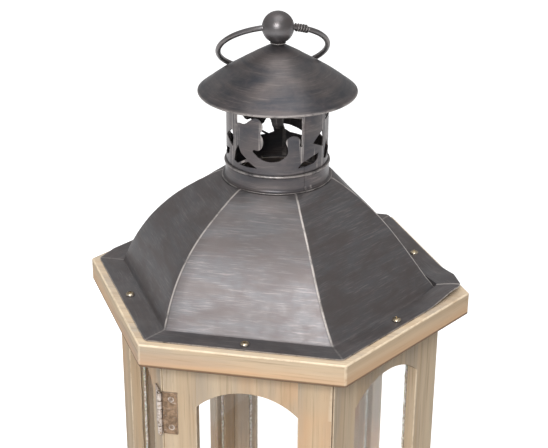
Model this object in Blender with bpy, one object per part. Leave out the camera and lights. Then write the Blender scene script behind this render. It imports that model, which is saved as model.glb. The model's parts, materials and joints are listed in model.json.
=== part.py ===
"""Hexagonal wooden candle lantern with a sheet-metal roof, a hinged door and a ring handle.

Metres, +Z up. The origin is the middle of the base board's underside, the door faces -Y, and the
hexagon's corners lie at 0, 60, 120 ... degrees from +X. Radii of hexagons go to their corners.
"""

from math import atan2, cos, hypot, pi, radians, sin, sqrt, tan

import bmesh
import bpy
from mathutils import Matrix, Vector

# --- Gaps -------------------------------------------------------------------------------------
JOINT_GAP = 0.0003  # between pieces that touch
DOOR_SIDE_GAP = 0.0008  # across each of the door's two mitred edges
DOOR_END_GAP = 0.0012  # over and under the door
GLASS_GAP = 0.0004  # round a pane, in its rebate
BORE_GAP = 0.0004  # round a turning or passing shaft
CUT_SPARE = 0.001  # how far a cutter reaches past the face it cuts

# --- Wooden body ------------------------------------------------------------------------------
BOARD_RADIUS = 0.135
BOARD_THICKNESS = 0.0165
BOARD_EASE = 0.0022
HEAT_HOLE_RADIUS = 0.052
BODY_SETBACK = 0.020  # from the boards' corners to the body's corners
PANEL_HEIGHT = 0.262
PANEL_THICKNESS = 0.012
STILE_WIDTH = 0.0236
TOP_RAIL_HEIGHT = 0.036  # at its ends
ARCH_RISE = 0.0145
BOTTOM_RAIL_HEIGHT = 0.030
GLASS_THICKNESS = 0.002
REBATE_DEPTH = 0.004
GLASS_LAP = 0.005  # how far a pane reaches behind the frame round its opening

# --- Roof, vent and cap -----------------------------------------------------------------------
SHEET = 0.0008
BRIM_SETBACK = 0.0065  # from the top board's corners to the brim's corners
BRIM_WIDTH = 0.0175
ROOF_RISE = 0.0752  # from the brim to the shoulder under the vent
ROOF_LOW_HANDLE = (0.26, 0.45)  # shape of the bell: share of the run inwards, share of the rise
ROOF_HIGH_HANDLE = (0.49, 0.74)
ROOF_ROUNDING = 0.016  # width of the stretch in which the hexagon turns into the round shoulder
VENT_RADIUS = 0.034
SHOULDER_WIDTH = 0.004
VENT_LEDGE = 0.003  # how far the roof's top reaches in under the vent
COLLAR_HEIGHT = 0.012
COLLAR_BEAD = 0.0013
COLLAR_FOOT = 0.0026
CAP_LIFT = 0.0592  # from the roof's shoulder up to the cap's rim
CAP_RADIUS = 0.0527
CAP_RISE = 0.0318
CAP_LOW_HANDLE = (0.135, 0.231)
CAP_HIGH_HANDLE = (0.62, 0.692)
CAP_LIP = 0.0026  # height of the lip turned down at the cap's rim

# --- Vent pattern -----------------------------------------------------------------------------
# Each outline is a list of (degrees round the vent from the middle of its repeat, share of the
# pierced height). The pierced height runs from PATTERN_SKIRT over the collar to PATTERN_HEAD
# under the cap's rim.
PATTERN_REPEATS = 3
PATTERN_SKIRT = 0.0033
PATTERN_HEAD = 0.0030
SCROLL_WINDOW = [
    (-42, 0.70), (-40, 0.90), (-20, 0.99), (0, 1.0), (20, 1.0), (38, 0.95), (41, 0.78),
    (40.5, 0.50), (38, 0.38), (36.5, 0.50), (31, 0.57), (24, 0.56), (20.5, 0.49), (22.5, 0.39),
    (22.5, 0.29), (17, 0.20), (8, 0.15), (-5, 0.17), (-14, 0.25), (-17, 0.31), (-9.5, 0.33),
    (-5, 0.43), (-5.5, 0.54), (-8, 0.61), (-5.5, 0.70), (-7, 0.80), (-12, 0.86), (-20, 0.81),
    (-29, 0.72), (-36, 0.715),
]
LEAF_GAP = [(-38, 0.35), (-25, 0.145), (-31, 0.09), (-39, 0.02), (-45, 0.05)]
TOE_GAP = [(-35, 0.01), (-22.5, 0.105), (-17.5, 0.065), (-11.5, 0.015)]
SEED_HOLE = [
    (34, 0.02), (39, 0.10), (45.5, 0.14), (56, 0.185), (64, 0.20), (62, 0.10), (56, 0.05), (44, 0.03),
]
TAIL_HOLE = [(54, 0.39), (60, 0.465), (71, 0.56), (73.5, 0.42), (72, 0.27), (63, 0.33)]
PATTERN = [SCROLL_WINDOW, LEAF_GAP, TOE_GAP, SEED_HOLE, TAIL_HOLE]

# --- Finial and handle ------------------------------------------------------------------------
BALL_RADIUS = 0.0105
NECK_RADIUS = 0.0046
NECK_HEIGHT = 0.0008
STUD_RADIUS = 0.0025
STUD_GRIP = 0.0057  # how far the stud reaches into the nut
STRAP_DROP = 0.0170  # from the cap's rim down to the strap's underside
STRAP_WIDTH = 0.012
STRAP_THICKNESS = 0.0015
NUT_RADIUS = 0.0046
NUT_HEIGHT = 0.0095
RING_RADIUS = 0.0366
RING_WIRE_RADIUS = 0.00185
BORE_DIRECTION = 18.0  # degrees from +X
RING_REST_GAP = 0.0006  # between the ring and the cap when it lies back

# --- Hinges -----------------------------------------------------------------------------------
HINGE_HEIGHT = 0.032
HINGE_INSET = 0.026  # from the end of the body to the near end of the hinge
LEAF_REACH = 0.0108
LEAF_THICKNESS = 0.0010
KNUCKLES = 5
KNUCKLE_RADIUS = 0.0017
KNUCKLE_GAP = 0.0004
LEAF_BACK_SHARE = 0.88  # where a leaf's back meets its knuckles, as a share of their radius
PIN_RADIUS = 0.0008
PIN_HEAD_RADIUS = 0.0013
PIN_HEAD_HEIGHT = 0.0008
HINGE_SCREW_INSET = 0.0052  # from a leaf's end
HINGE_SCREW_REACH = 0.0067  # from the body's corner
HINGE_SCREW_HOLE = 0.0011
HINGE_COUNTERSINK = 0.0021

# --- Small fittings ---------------------------------------------------------------------------
ROOF_SCREW_LENGTH = 0.0135
ROOF_SCREW_RADIUS = 0.0014
ROOF_SCREW_HEAD_RADIUS = 0.0030
ROOF_SCREW_HEAD_HEIGHT = 0.0018
ROOF_SCREW_INSET = 0.0066  # from the brim's edge to the screw's axis, square to the edge
TRAY_RADIUS = 0.043
TRAY_RIM_HEIGHT = 0.006
TRAY_SHEET = 0.0010
TRAY_SCREW_RADIUS = 0.0014
TRAY_SCREW_HEAD_RADIUS = 0.0032
TRAY_SCREW_LENGTH = 0.011
KNOB_RADIUS = 0.0066
KNOB_REACH = 0.0150
KNOB_STEM_RADIUS = 0.0024
KNOB_STEM_DEPTH = 0.007
CATCH_SIZE = (0.020, 0.009, 0.0105)
CATCH_INSET = 0.0099  # from the opening's free side to the catch's middle
STRIKE_THICKNESS = 0.0008

# --- What follows from them -------------------------------------------------------------------
SIDES = 6
BELL_STEPS = 9  # of a curved profile of sheet metal
ARCH_STEPS = 12
EDGE_STEPS = 5  # along each side of the roof
SIDE_ANGLE = radians(360 / SIDES)
APOTHEM_SHARE = cos(SIDE_ANGLE / 2)
MITRE_SLOPE = tan(SIDE_ANGLE / 2)
BODY_RADIUS = BOARD_RADIUS - BODY_SETBACK
BODY_APOTHEM = BODY_RADIUS * APOTHEM_SHARE
OPENING_WIDTH = BODY_RADIUS - 2 * STILE_WIDTH  # a hexagon's side is as long as its radius
BODY_FOOT = BOARD_THICKNESS + JOINT_GAP
BODY_HEAD = BODY_FOOT + PANEL_HEIGHT
TOP_BOARD_FOOT = BODY_HEAD + JOINT_GAP
BOARD_TOP = TOP_BOARD_FOOT + BOARD_THICKNESS
BRIM_FOOT = BOARD_TOP + JOINT_GAP
BRIM_TOP = BRIM_FOOT + SHEET
BRIM_RADIUS = BOARD_RADIUS - BRIM_SETBACK
ROOF_FOOT_RADIUS = BRIM_RADIUS - BRIM_WIDTH
SHOULDER_RADIUS = VENT_RADIUS + SHOULDER_WIDTH
SHOULDER_TOP = BRIM_TOP + ROOF_RISE
VENT_FOOT = SHOULDER_TOP + JOINT_GAP
CAP_RIM = SHOULDER_TOP + CAP_LIFT
CAP_TOP = CAP_RIM + CAP_RISE
BALL_CENTRE = CAP_TOP + JOINT_GAP + NECK_HEIGHT + sqrt(BALL_RADIUS**2 - NECK_RADIUS**2)
STRAP_FOOT = CAP_RIM - STRAP_DROP
RING_SAG = RING_RADIUS - sqrt(RING_RADIUS**2 - BALL_RADIUS**2)  # the ring's bend inside the ball
RING_BORE_RADIUS = RING_WIRE_RADIUS + RING_SAG / 2 + BORE_GAP
BARREL_STANDOFF = KNUCKLE_RADIUS * LEAF_BACK_SHARE + JOINT_GAP  # from the body's face to the axis
ARRIS_TO_AXIS = BARREL_STANDOFF / APOTHEM_SHARE
HINGE_CORNER = radians(240)
HINGE_X = (BODY_RADIUS + ARRIS_TO_AXIS) * cos(HINGE_CORNER)
HINGE_Y = (BODY_RADIUS + ARRIS_TO_AXIS) * sin(HINGE_CORNER)

COLOURS = {  # base colour, metallic, roughness
    "wood": ((0.50, 0.38, 0.25), 0.0, 0.7),
    "roof_metal": ((0.060, 0.052, 0.054), 0.8, 0.5),
    "hinge_metal": ((0.16, 0.11, 0.07), 0.9, 0.45),
    "screw_metal": ((0.60, 0.52, 0.38), 1.0, 0.3),
    "tray_metal": ((0.35, 0.35, 0.35), 0.9, 0.4),
    "magnet_plastic": ((0.08, 0.08, 0.08), 0.0, 0.6),
    "glass": ((0.85, 0.90, 0.88), 0.0, 0.05),
}


def clear_scene():
    for thing in list(bpy.data.objects):
        bpy.data.objects.remove(thing, do_unlink=True)


def material_named(name):
    found = bpy.data.materials.get(name)
    if found:
        return found
    colour, metallic, roughness = COLOURS[name]
    made = bpy.data.materials.new(name)
    made.use_nodes = True
    shader = made.node_tree.nodes["Principled BSDF"]
    shader.inputs["Base Color"].default_value = (*colour, 1.0)
    shader.inputs["Metallic"].default_value = metallic
    shader.inputs["Roughness"].default_value = roughness
    made.diffuse_color = (*colour, 1.0)
    return made


def add_object(name, shape, material=None, round_piece=False):
    """Makes an object of a bmesh, which it frees."""
    bmesh.ops.recalc_face_normals(shape, faces=shape.faces)
    mesh = bpy.data.meshes.new(name)
    shape.to_mesh(mesh)
    shape.free()
    if round_piece:
        mesh.shade_smooth()
        mesh.set_sharp_from_angle(angle=radians(35))
    thing = bpy.data.objects.new(name, mesh)
    bpy.context.scene.collection.objects.link(thing)
    if material:
        mesh.materials.append(material_named(material))
    return thing


def loft(rings, closed=False):
    """A bmesh skin over rings of points. A ring of one point is a pole, and open ends get a face."""
    shape = bmesh.new()
    loops = [[shape.verts.new(point) for point in ring] for ring in rings]
    pairs = list(zip(loops, loops[1:]))
    if closed:
        pairs.append((loops[-1], loops[0]))
    for low, high in pairs:
        count = max(len(low), len(high))
        for i in range(count):
            j = (i + 1) % count
            corners = [low[i % len(low)], low[j % len(low)], high[j % len(high)], high[i % len(high)]]
            shape.faces.new(dict.fromkeys(corners))
    if not closed:
        for ring in (loops[0], loops[-1]):
            if len(ring) > 2:
                shape.faces.new(ring)
    return shape


def turned(profile, segments, closed=False):
    """A bmesh turned about Z from (radius, height) points; a radius of 0 is a pole."""
    rings = []
    for radius, height in profile:
        if radius < 1e-7:
            rings.append([(0, 0, height)])
            continue
        turns = [2 * pi * k / segments for k in range(segments)]
        rings.append([(radius * cos(turn), radius * sin(turn), height) for turn in turns])
    return loft(rings, closed)


def prism(outline, low, high):
    """A bmesh of an outline of (x, y) points, upright from low to high."""
    return loft([[(x, y, height) for x, y in outline] for height in (low, high)])


def slab(outline, front, back):
    """A bmesh of an outline of (x, z) points, from y = front to y = back."""
    return loft([[(x, y, z) for x, z in outline] for y in (front, back)])


def box_outline(left, right, low, high):
    return [(left, low), (right, low), (right, high), (left, high)]


def hexagon(radius):
    return [(radius * cos(k * SIDE_ANGLE), radius * sin(k * SIDE_ANGLE)) for k in range(SIDES)]


def bezier(start, handle_a, handle_b, end, steps):
    """Points along a cubic curve, both ends included."""
    points = []
    for k in range(steps + 1):
        t = k / steps
        weights = ((1 - t) ** 3, 3 * t * (1 - t) ** 2, 3 * t * t * (1 - t), t**3)
        corners = (start, handle_a, handle_b, end)
        points.append(tuple(sum(w * c[axis] for w, c in zip(weights, corners)) for axis in (0, 1)))
    return points


def inset_profile(points, thickness):
    """The profile moved square to itself by a thickness, to its right-hand side."""
    moved = []
    for k, (x, y) in enumerate(points):
        before = points[max(k - 1, 0)]
        after = points[min(k + 1, len(points) - 1)]
        along = Vector((after[0] - before[0], after[1] - before[1])).normalized()
        moved.append((x + along.y * thickness, y - along.x * thickness))
    return moved


def combine(thing, others, operation="DIFFERENCE"):
    """Cuts the others from a piece, or joins them to it, and keeps only the result."""
    for other in others:
        step = thing.modifiers.new(other.name, "BOOLEAN")
        step.operation = operation
        step.solver = "EXACT"
        step.object = other
    graph = bpy.context.evaluated_depsgraph_get()
    result = bpy.data.meshes.new_from_object(thing.evaluated_get(graph))
    thing.modifiers.clear()
    thing.data = result
    for other in others:
        bpy.data.objects.remove(other, do_unlink=True)
    return thing


def cutter(shape, name="cutter"):
    made = add_object(name, shape)
    made.hide_render = True
    made.display_type = "WIRE"
    return made


def cylinder_cutter(radius, low, high, segments=16, at=(0, 0)):
    made = cutter(turned([(0, low), (radius, low), (radius, high), (0, high)], segments))
    made.location = (*at, 0)
    return made


# --- Boards -----------------------------------------------------------------------------------


def hexagon_board(name, foot):
    """A hexagonal board with its upper and lower edges eased."""
    board = add_object(name, prism(hexagon(BOARD_RADIUS), foot, foot + BOARD_THICKNESS), "wood")
    ease = board.modifiers.new("eased edges", "BEVEL")
    ease.width = BOARD_EASE
    ease.segments = 2
    ease.limit_method = "ANGLE"
    ease.angle_limit = radians(45)
    return combine(board, [])


def roof_screw_places():
    """(x, y) of the six roof screws, in the middle of each side of the brim."""
    reach = BRIM_RADIUS * APOTHEM_SHARE - ROOF_SCREW_INSET
    angles = [(k + 0.5) * SIDE_ANGLE for k in range(SIDES)]
    return [(reach * cos(angle), reach * sin(angle)) for angle in angles]


def make_boards():
    base = hexagon_board("base_board", 0)
    pilot = cylinder_cutter(
        TRAY_SCREW_RADIUS + JOINT_GAP, BOARD_THICKNESS - TRAY_SCREW_LENGTH, BOARD_THICKNESS + CUT_SPARE, 12
    )
    combine(base, [pilot])
    top = hexagon_board("top_board", TOP_BOARD_FOOT)
    holes = [cylinder_cutter(HEAT_HOLE_RADIUS, TOP_BOARD_FOOT - CUT_SPARE, BOARD_TOP + CUT_SPARE, 36)]
    deepest = BRIM_TOP + JOINT_GAP - ROOF_SCREW_LENGTH - JOINT_GAP
    for place in roof_screw_places():
        pilot_radius = ROOF_SCREW_RADIUS + JOINT_GAP
        holes.append(cylinder_cutter(pilot_radius, deepest, BOARD_TOP + CUT_SPARE, 10, place))
    combine(top, holes)


# --- Framed sides -----------------------------------------------------------------------------
# Each side is drawn as the front one, facing -Y, and then turned to its place.

FIXED_SIDES = ["right_front", "right_rear", "rear", "left_rear", "left_front"]
OPENING_FOOT = BODY_FOOT + BOTTOM_RAIL_HEIGHT
ARCH_SPRING = BODY_HEAD - TOP_RAIL_HEIGHT
GLASS_FOOT = OPENING_FOOT - GLASS_LAP
GLASS_HEAD = ARCH_SPRING + ARCH_RISE + GLASS_LAP
REBATE_FRONT = -BODY_APOTHEM + PANEL_THICKNESS - REBATE_DEPTH
PANEL_BACK = -BODY_APOTHEM + PANEL_THICKNESS


def pane_outline(margin):
    half = OPENING_WIDTH / 2 + GLASS_LAP - GLASS_GAP + margin
    return box_outline(-half, half, GLASS_FOOT + GLASS_GAP - margin, GLASS_HEAD - GLASS_GAP + margin)


def rebate_cutter():
    return cutter(slab(pane_outline(GLASS_GAP), REBATE_FRONT, PANEL_BACK + CUT_SPARE))


def stile_outline(hand, edge_gap):
    """Plan of an upright: hand is -1 for the left one and 1 for the right one, seen from outside."""
    shift = edge_gap / APOTHEM_SHARE
    corner = BODY_RADIUS / 2 - shift
    inner = BODY_RADIUS / 2 - STILE_WIDTH
    deep_corner = corner - PANEL_THICKNESS * MITRE_SLOPE
    front = [(inner, -BODY_APOTHEM), (corner, -BODY_APOTHEM)]
    back = [(deep_corner, PANEL_BACK), (inner, PANEL_BACK)]
    return [(hand * x, y) for x, y in front + back]


def arched_outline(head):
    """Front view of the top rail: straight above, with a low arch below."""
    half = OPENING_WIDTH / 2 - JOINT_GAP
    span = OPENING_WIDTH / 2
    arch_radius = (span**2 + ARCH_RISE**2) / (2 * ARCH_RISE)
    arch_centre = ARCH_SPRING + ARCH_RISE - arch_radius
    arch = []
    for k in range(ARCH_STEPS + 1):
        x = half * (1 - 2 * k / ARCH_STEPS)
        arch.append((x, arch_centre + sqrt(arch_radius**2 - x**2)))
    return [(-half, head), *arch[::-1], (half, head)]


def framed_side(name, edge_gap, foot, head):
    """The four wooden pieces of a side, in its front position."""
    half = OPENING_WIDTH / 2 - JOINT_GAP
    shapes = {
        "left_stile": prism(stile_outline(-1, edge_gap), foot, head),
        "right_stile": prism(stile_outline(1, edge_gap), foot, head),
        "top_rail": slab(arched_outline(head), -BODY_APOTHEM, PANEL_BACK),
        "bottom_rail": slab(box_outline(-half, half, foot, OPENING_FOOT), -BODY_APOTHEM, PANEL_BACK),
    }
    pieces = []
    for part, shape in shapes.items():
        piece = add_object(f"{name}_{part}", shape, "wood")
        pieces.append(combine(piece, [rebate_cutter()]))
    pane_front = REBATE_FRONT + GLASS_GAP
    pane = slab(pane_outline(0), pane_front, pane_front + GLASS_THICKNESS)
    pieces.append(add_object(f"{name}_glass", pane, "glass"))
    return pieces


def make_fixed_sides():
    first = framed_side(FIXED_SIDES[0], JOINT_GAP / 2, BODY_FOOT, BODY_HEAD)
    for k, side in enumerate(FIXED_SIDES):
        for piece in first:
            placed = piece
            if k:
                placed = bpy.data.objects.new(piece.name.replace(FIXED_SIDES[0], side), piece.data)
                bpy.context.scene.collection.objects.link(placed)
            placed.rotation_euler.z = (k + 1) * SIDE_ANGLE


def make_door():
    foot = BODY_FOOT + DOOR_END_GAP - JOINT_GAP
    head = BODY_HEAD - DOOR_END_GAP + JOINT_GAP
    return framed_side("door", DOOR_SIDE_GAP - JOINT_GAP / 2, foot, head)


# --- Roof -------------------------------------------------------------------------------------


def roof_profile():
    """Outer (corner radius, height) from the brim's edge up to the shoulder's edge."""
    run = ROOF_FOOT_RADIUS - SHOULDER_RADIUS

    def at(handle):
        return (ROOF_FOOT_RADIUS - run * handle[0], BRIM_TOP + ROOF_RISE * handle[1])

    start = (ROOF_FOOT_RADIUS, BRIM_TOP)
    end = (SHOULDER_RADIUS, SHOULDER_TOP)
    bell = bezier(start, at(ROOF_LOW_HANDLE), at(ROOF_HIGH_HANDLE), end, BELL_STEPS)
    return [(BRIM_RADIUS, BRIM_TOP), *bell, (VENT_RADIUS - VENT_LEDGE, SHOULDER_TOP)]


def roof_ring(corner_radius, height):
    """A ring that is a hexagon low down and turns round towards the shoulder."""
    roundness = (SHOULDER_RADIUS + ROOF_ROUNDING - corner_radius) / ROOF_ROUNDING
    roundness = min(max(roundness, 0), 1)
    ring = []
    for side in range(SIDES):
        for k in range(EDGE_STEPS):
            share = k / EDGE_STEPS
            start = side * SIDE_ANGLE
            edge_x = (1 - share) * cos(start) + share * cos(start + SIDE_ANGLE)
            edge_y = (1 - share) * sin(start) + share * sin(start + SIDE_ANGLE)
            flat = hypot(edge_x, edge_y)
            reach = corner_radius * (flat + (1 - flat) * roundness)
            turn = atan2(edge_y, edge_x)
            ring.append((reach * cos(turn), reach * sin(turn), height))
    return ring


def make_roof():
    outer = roof_profile()
    facets = [(radius * APOTHEM_SHARE, height) for radius, height in outer]
    inner = [(radius / APOTHEM_SHARE, height) for radius, height in inset_profile(facets, -SHEET)]
    inner[0] = (BRIM_RADIUS, BRIM_FOOT)
    inner[1] = (inner[1][0], BRIM_FOOT)
    inner[-2] = (inner[-2][0], SHOULDER_TOP - SHEET)
    inner[-1] = (outer[-1][0], SHOULDER_TOP - SHEET)
    rings = [roof_ring(*point) for point in outer + inner[::-1]]
    roof = add_object("roof", loft(rings, closed=True), "roof_metal")
    hole_radius = ROOF_SCREW_RADIUS + BORE_GAP
    holes = [
        cylinder_cutter(hole_radius, BRIM_FOOT - CUT_SPARE, BRIM_TOP + CUT_SPARE, 10, place)
        for place in roof_screw_places()
    ]
    combine(roof, holes)


def make_roof_screws():
    seat = BRIM_TOP + JOINT_GAP
    head = seat + ROOF_SCREW_HEAD_HEIGHT
    profile = [
        (0, seat - ROOF_SCREW_LENGTH),
        (ROOF_SCREW_RADIUS, seat - ROOF_SCREW_LENGTH + ROOF_SCREW_RADIUS),
        (ROOF_SCREW_RADIUS, seat),
        (ROOF_SCREW_HEAD_RADIUS, seat),
        (ROOF_SCREW_HEAD_RADIUS * 0.85, seat + ROOF_SCREW_HEAD_HEIGHT * 0.65),
        (0, head),
    ]
    first = add_object("roof_screw_1", turned(profile, 10), "screw_metal", round_piece=True)
    for k, place in enumerate(roof_screw_places()):
        screw = first
        if k:
            screw = bpy.data.objects.new(f"roof_screw_{k + 1}", first.data)
            bpy.context.scene.collection.objects.link(screw)
        screw.location = (*place, 0)


# --- Vent and cap -----------------------------------------------------------------------------


def cap_profile():
    """Outer (radius, height) of the cap from its rim up to the hole for the stud."""
    hole = STUD_RADIUS + BORE_GAP
    run = CAP_RADIUS - hole

    def at(handle):
        return (CAP_RADIUS - run * handle[0], CAP_RIM + CAP_RISE * handle[1])

    return bezier((CAP_RADIUS, CAP_RIM), at(CAP_LOW_HANDLE), at(CAP_HIGH_HANDLE), (hole, CAP_TOP), BELL_STEPS)


def height_on(profile, radius):
    """Height of a profile that runs inwards, at a radius."""
    for (far, low), (near, high) in zip(profile, profile[1:]):
        if near <= radius <= far:
            return low + (high - low) * (far - radius) / (far - near)
    return profile[0][1]


def pattern_cutter(outline, turn):
    """A straight prism of one opening, wide enough to pass the vent's near wall only."""
    foot = VENT_FOOT + COLLAR_HEIGHT + PATTERN_SKIRT
    head = CAP_RIM - PATTERN_HEAD
    middle = (min(angle for angle, _ in outline) + max(angle for angle, _ in outline)) / 2
    flat = []
    for angle, share in outline:
        flat.append((VENT_RADIUS * sin(radians(angle - middle)), foot + (head - foot) * share))
    made = cutter(slab(flat, -VENT_RADIUS * 1.2, -VENT_RADIUS * 0.7))
    made.rotation_euler.z = turn + radians(middle)
    return made


def make_vent():
    inner = VENT_RADIUS - SHEET
    head = height_on(cap_profile(), VENT_RADIUS) - 2 * SHEET - JOINT_GAP
    section = [(VENT_RADIUS, VENT_FOOT), (VENT_RADIUS, head), (inner, head), (inner, VENT_FOOT)]
    vent = add_object("vent", turned(section, 48, closed=True), "roof_metal", round_piece=True)
    cutters = []
    for repeat in range(PATTERN_REPEATS):
        turn = 2 * pi * repeat / PATTERN_REPEATS
        cutters += [pattern_cutter(outline, turn) for outline in PATTERN]
    combine(vent, cutters)


def make_collar():
    inner = VENT_RADIUS + JOINT_GAP
    outer = inner + SHEET
    head = VENT_FOOT + COLLAR_HEIGHT
    bead = head - COLLAR_BEAD
    profile = [
        (inner, VENT_FOOT),
        (outer + COLLAR_FOOT, VENT_FOOT),
        (outer + COLLAR_FOOT, VENT_FOOT + SHEET),
        (outer + COLLAR_FOOT * 0.35, VENT_FOOT + SHEET * 1.8),
        (outer, VENT_FOOT + SHEET + COLLAR_FOOT),
        (outer, bead - COLLAR_BEAD),
        (outer + COLLAR_BEAD * 0.85, bead - COLLAR_BEAD * 0.5),
        (outer + COLLAR_BEAD * 0.85, bead + COLLAR_BEAD * 0.5),
        (outer, head),
        (inner, head),
    ]
    add_object("vent_collar", turned(profile, 36, closed=True), "roof_metal", round_piece=True)


def make_cap():
    outer = cap_profile()
    inner = inset_profile(outer, -SHEET)
    inner[-1] = (outer[-1][0], inner[-1][1])
    lip_foot = CAP_RIM - CAP_LIP
    lip_back = CAP_RADIUS - SHEET
    lip = [(lip_back, CAP_RIM), (lip_back, lip_foot), (CAP_RADIUS, lip_foot)]
    profile = outer + inner[:0:-1] + lip
    add_object("vent_cap", turned(profile, 36, closed=True), "roof_metal", round_piece=True)


def make_strap():
    """The flat bar across the vent that the finial's nut pulls against."""
    reach = sqrt((VENT_RADIUS - SHEET - JOINT_GAP * 2) ** 2 - (STRAP_WIDTH / 2) ** 2)
    outline = box_outline(-reach, reach, -STRAP_WIDTH / 2, STRAP_WIDTH / 2)
    head = STRAP_FOOT + STRAP_THICKNESS
    strap = add_object("vent_strap", prism(outline, STRAP_FOOT, head), "roof_metal")
    hole = cylinder_cutter(STUD_RADIUS + BORE_GAP, STRAP_FOOT - CUT_SPARE, head + CUT_SPARE, 12)
    combine(strap, [hole])


# --- Finial and handle ------------------------------------------------------------------------


def make_finial():
    """Ball, neck and stud in one turned piece, with the cross bore for the ring."""
    seat = CAP_TOP + JOINT_GAP
    stud_end = STRAP_FOOT - STUD_GRIP
    profile = [(0, stud_end), (STUD_RADIUS, stud_end), (STUD_RADIUS, seat), (NECK_RADIUS, seat)]
    low_turn = atan2(sqrt(BALL_RADIUS**2 - NECK_RADIUS**2), NECK_RADIUS)
    steps = 9
    for k in range(steps + 1):
        turn = -low_turn + (pi / 2 + low_turn) * k / steps
        radius = BALL_RADIUS * cos(turn) if k < steps else 0
        profile.append((radius, BALL_CENTRE + BALL_RADIUS * sin(turn)))
    finial = add_object("finial", turned(profile, 24), "roof_metal", round_piece=True)
    half = BALL_RADIUS * 1.2
    bore = cylinder_cutter(RING_BORE_RADIUS, -half, half, 16)
    bore.matrix_world = (
        Matrix.Translation((0, 0, BALL_CENTRE))
        @ Matrix.Rotation(radians(BORE_DIRECTION), 4, "Z")
        @ Matrix.Rotation(pi / 2, 4, "Y")
    )
    bpy.context.view_layer.update()
    combine(finial, [bore])


def make_nut():
    """An acorn nut on the stud's end, under the strap."""
    head = STRAP_FOOT - JOINT_GAP
    foot = head - NUT_HEIGHT
    bore = STUD_RADIUS + BORE_GAP
    bore_end = STRAP_FOOT - STUD_GRIP - BORE_GAP
    profile = [
        (0, foot),
        (NUT_RADIUS * 0.6, foot + NUT_HEIGHT * 0.08),
        (NUT_RADIUS * 0.85, foot + NUT_HEIGHT * 0.25),
        (NUT_RADIUS * 0.9, foot + NUT_HEIGHT * 0.5),
        (NUT_RADIUS, foot + NUT_HEIGHT * 0.55),
        (NUT_RADIUS, head),
        (bore, head),
        (bore, bore_end),
        (0, bore_end),
    ]
    add_object("finial_nut", turned(profile, 12), "roof_metal")


def ring_points(tilt, count=72):
    """Points of the ring's middle line, lying back by a tilt below level, as (radius, height)."""
    middle = RING_RADIUS - RING_SAG / 2
    found = []
    for k in range(count):
        turn = 2 * pi * k / count
        outwards = middle - RING_RADIUS * cos(turn)
        sideways = RING_RADIUS * sin(turn)
        found.append((hypot(outwards * cos(tilt), sideways), BALL_CENTRE - outwards * sin(tilt)))
    return found


def distance_to_profile(point, profile):
    nearest = 1.0
    place = Vector(point)
    for start, end in zip(profile, profile[1:]):
        base, along = Vector(start), Vector(end) - Vector(start)
        share = min(max((place - base).dot(along) / along.length_squared, 0), 1)
        nearest = min(nearest, (place - base - along * share).length)
    return nearest


def resting_tilt():
    """The steepest tilt at which the ring still lies clear of the cap."""
    profile = [(CAP_RADIUS, CAP_RIM - CAP_LIP), *cap_profile()]
    room = RING_WIRE_RADIUS + RING_REST_GAP
    tilt = 0
    step = radians(0.25)
    while tilt < radians(80) and all(
        distance_to_profile(point, profile) > room for point in ring_points(tilt + step)
    ):
        tilt += step
    return tilt


def make_ring():
    """The ring, with its origin on the bore's axis."""
    count, around = 48, 8
    middle = RING_RADIUS - RING_SAG / 2
    rings = []
    for k in range(count):
        turn = 2 * pi * k / count
        centre = Vector((RING_RADIUS * sin(turn), middle - RING_RADIUS * cos(turn), 0))
        outwards = Vector((sin(turn), -cos(turn), 0))
        section = []
        for j in range(around):
            angle = 2 * pi * j / around
            offset = outwards * cos(angle) + Vector((0, 0, 1)) * sin(angle)
            section.append(centre + offset * RING_WIRE_RADIUS)
        rings.append(section)
    ring = add_object("ring_handle", loft(rings, closed=True), "roof_metal", round_piece=True)
    ring.matrix_world = (
        Matrix.Translation((0, 0, BALL_CENTRE))
        @ Matrix.Rotation(radians(BORE_DIRECTION), 4, "Z")
        @ Matrix.Rotation(-resting_tilt(), 4, "X")
    )


# --- Hinges -----------------------------------------------------------------------------------


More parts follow.
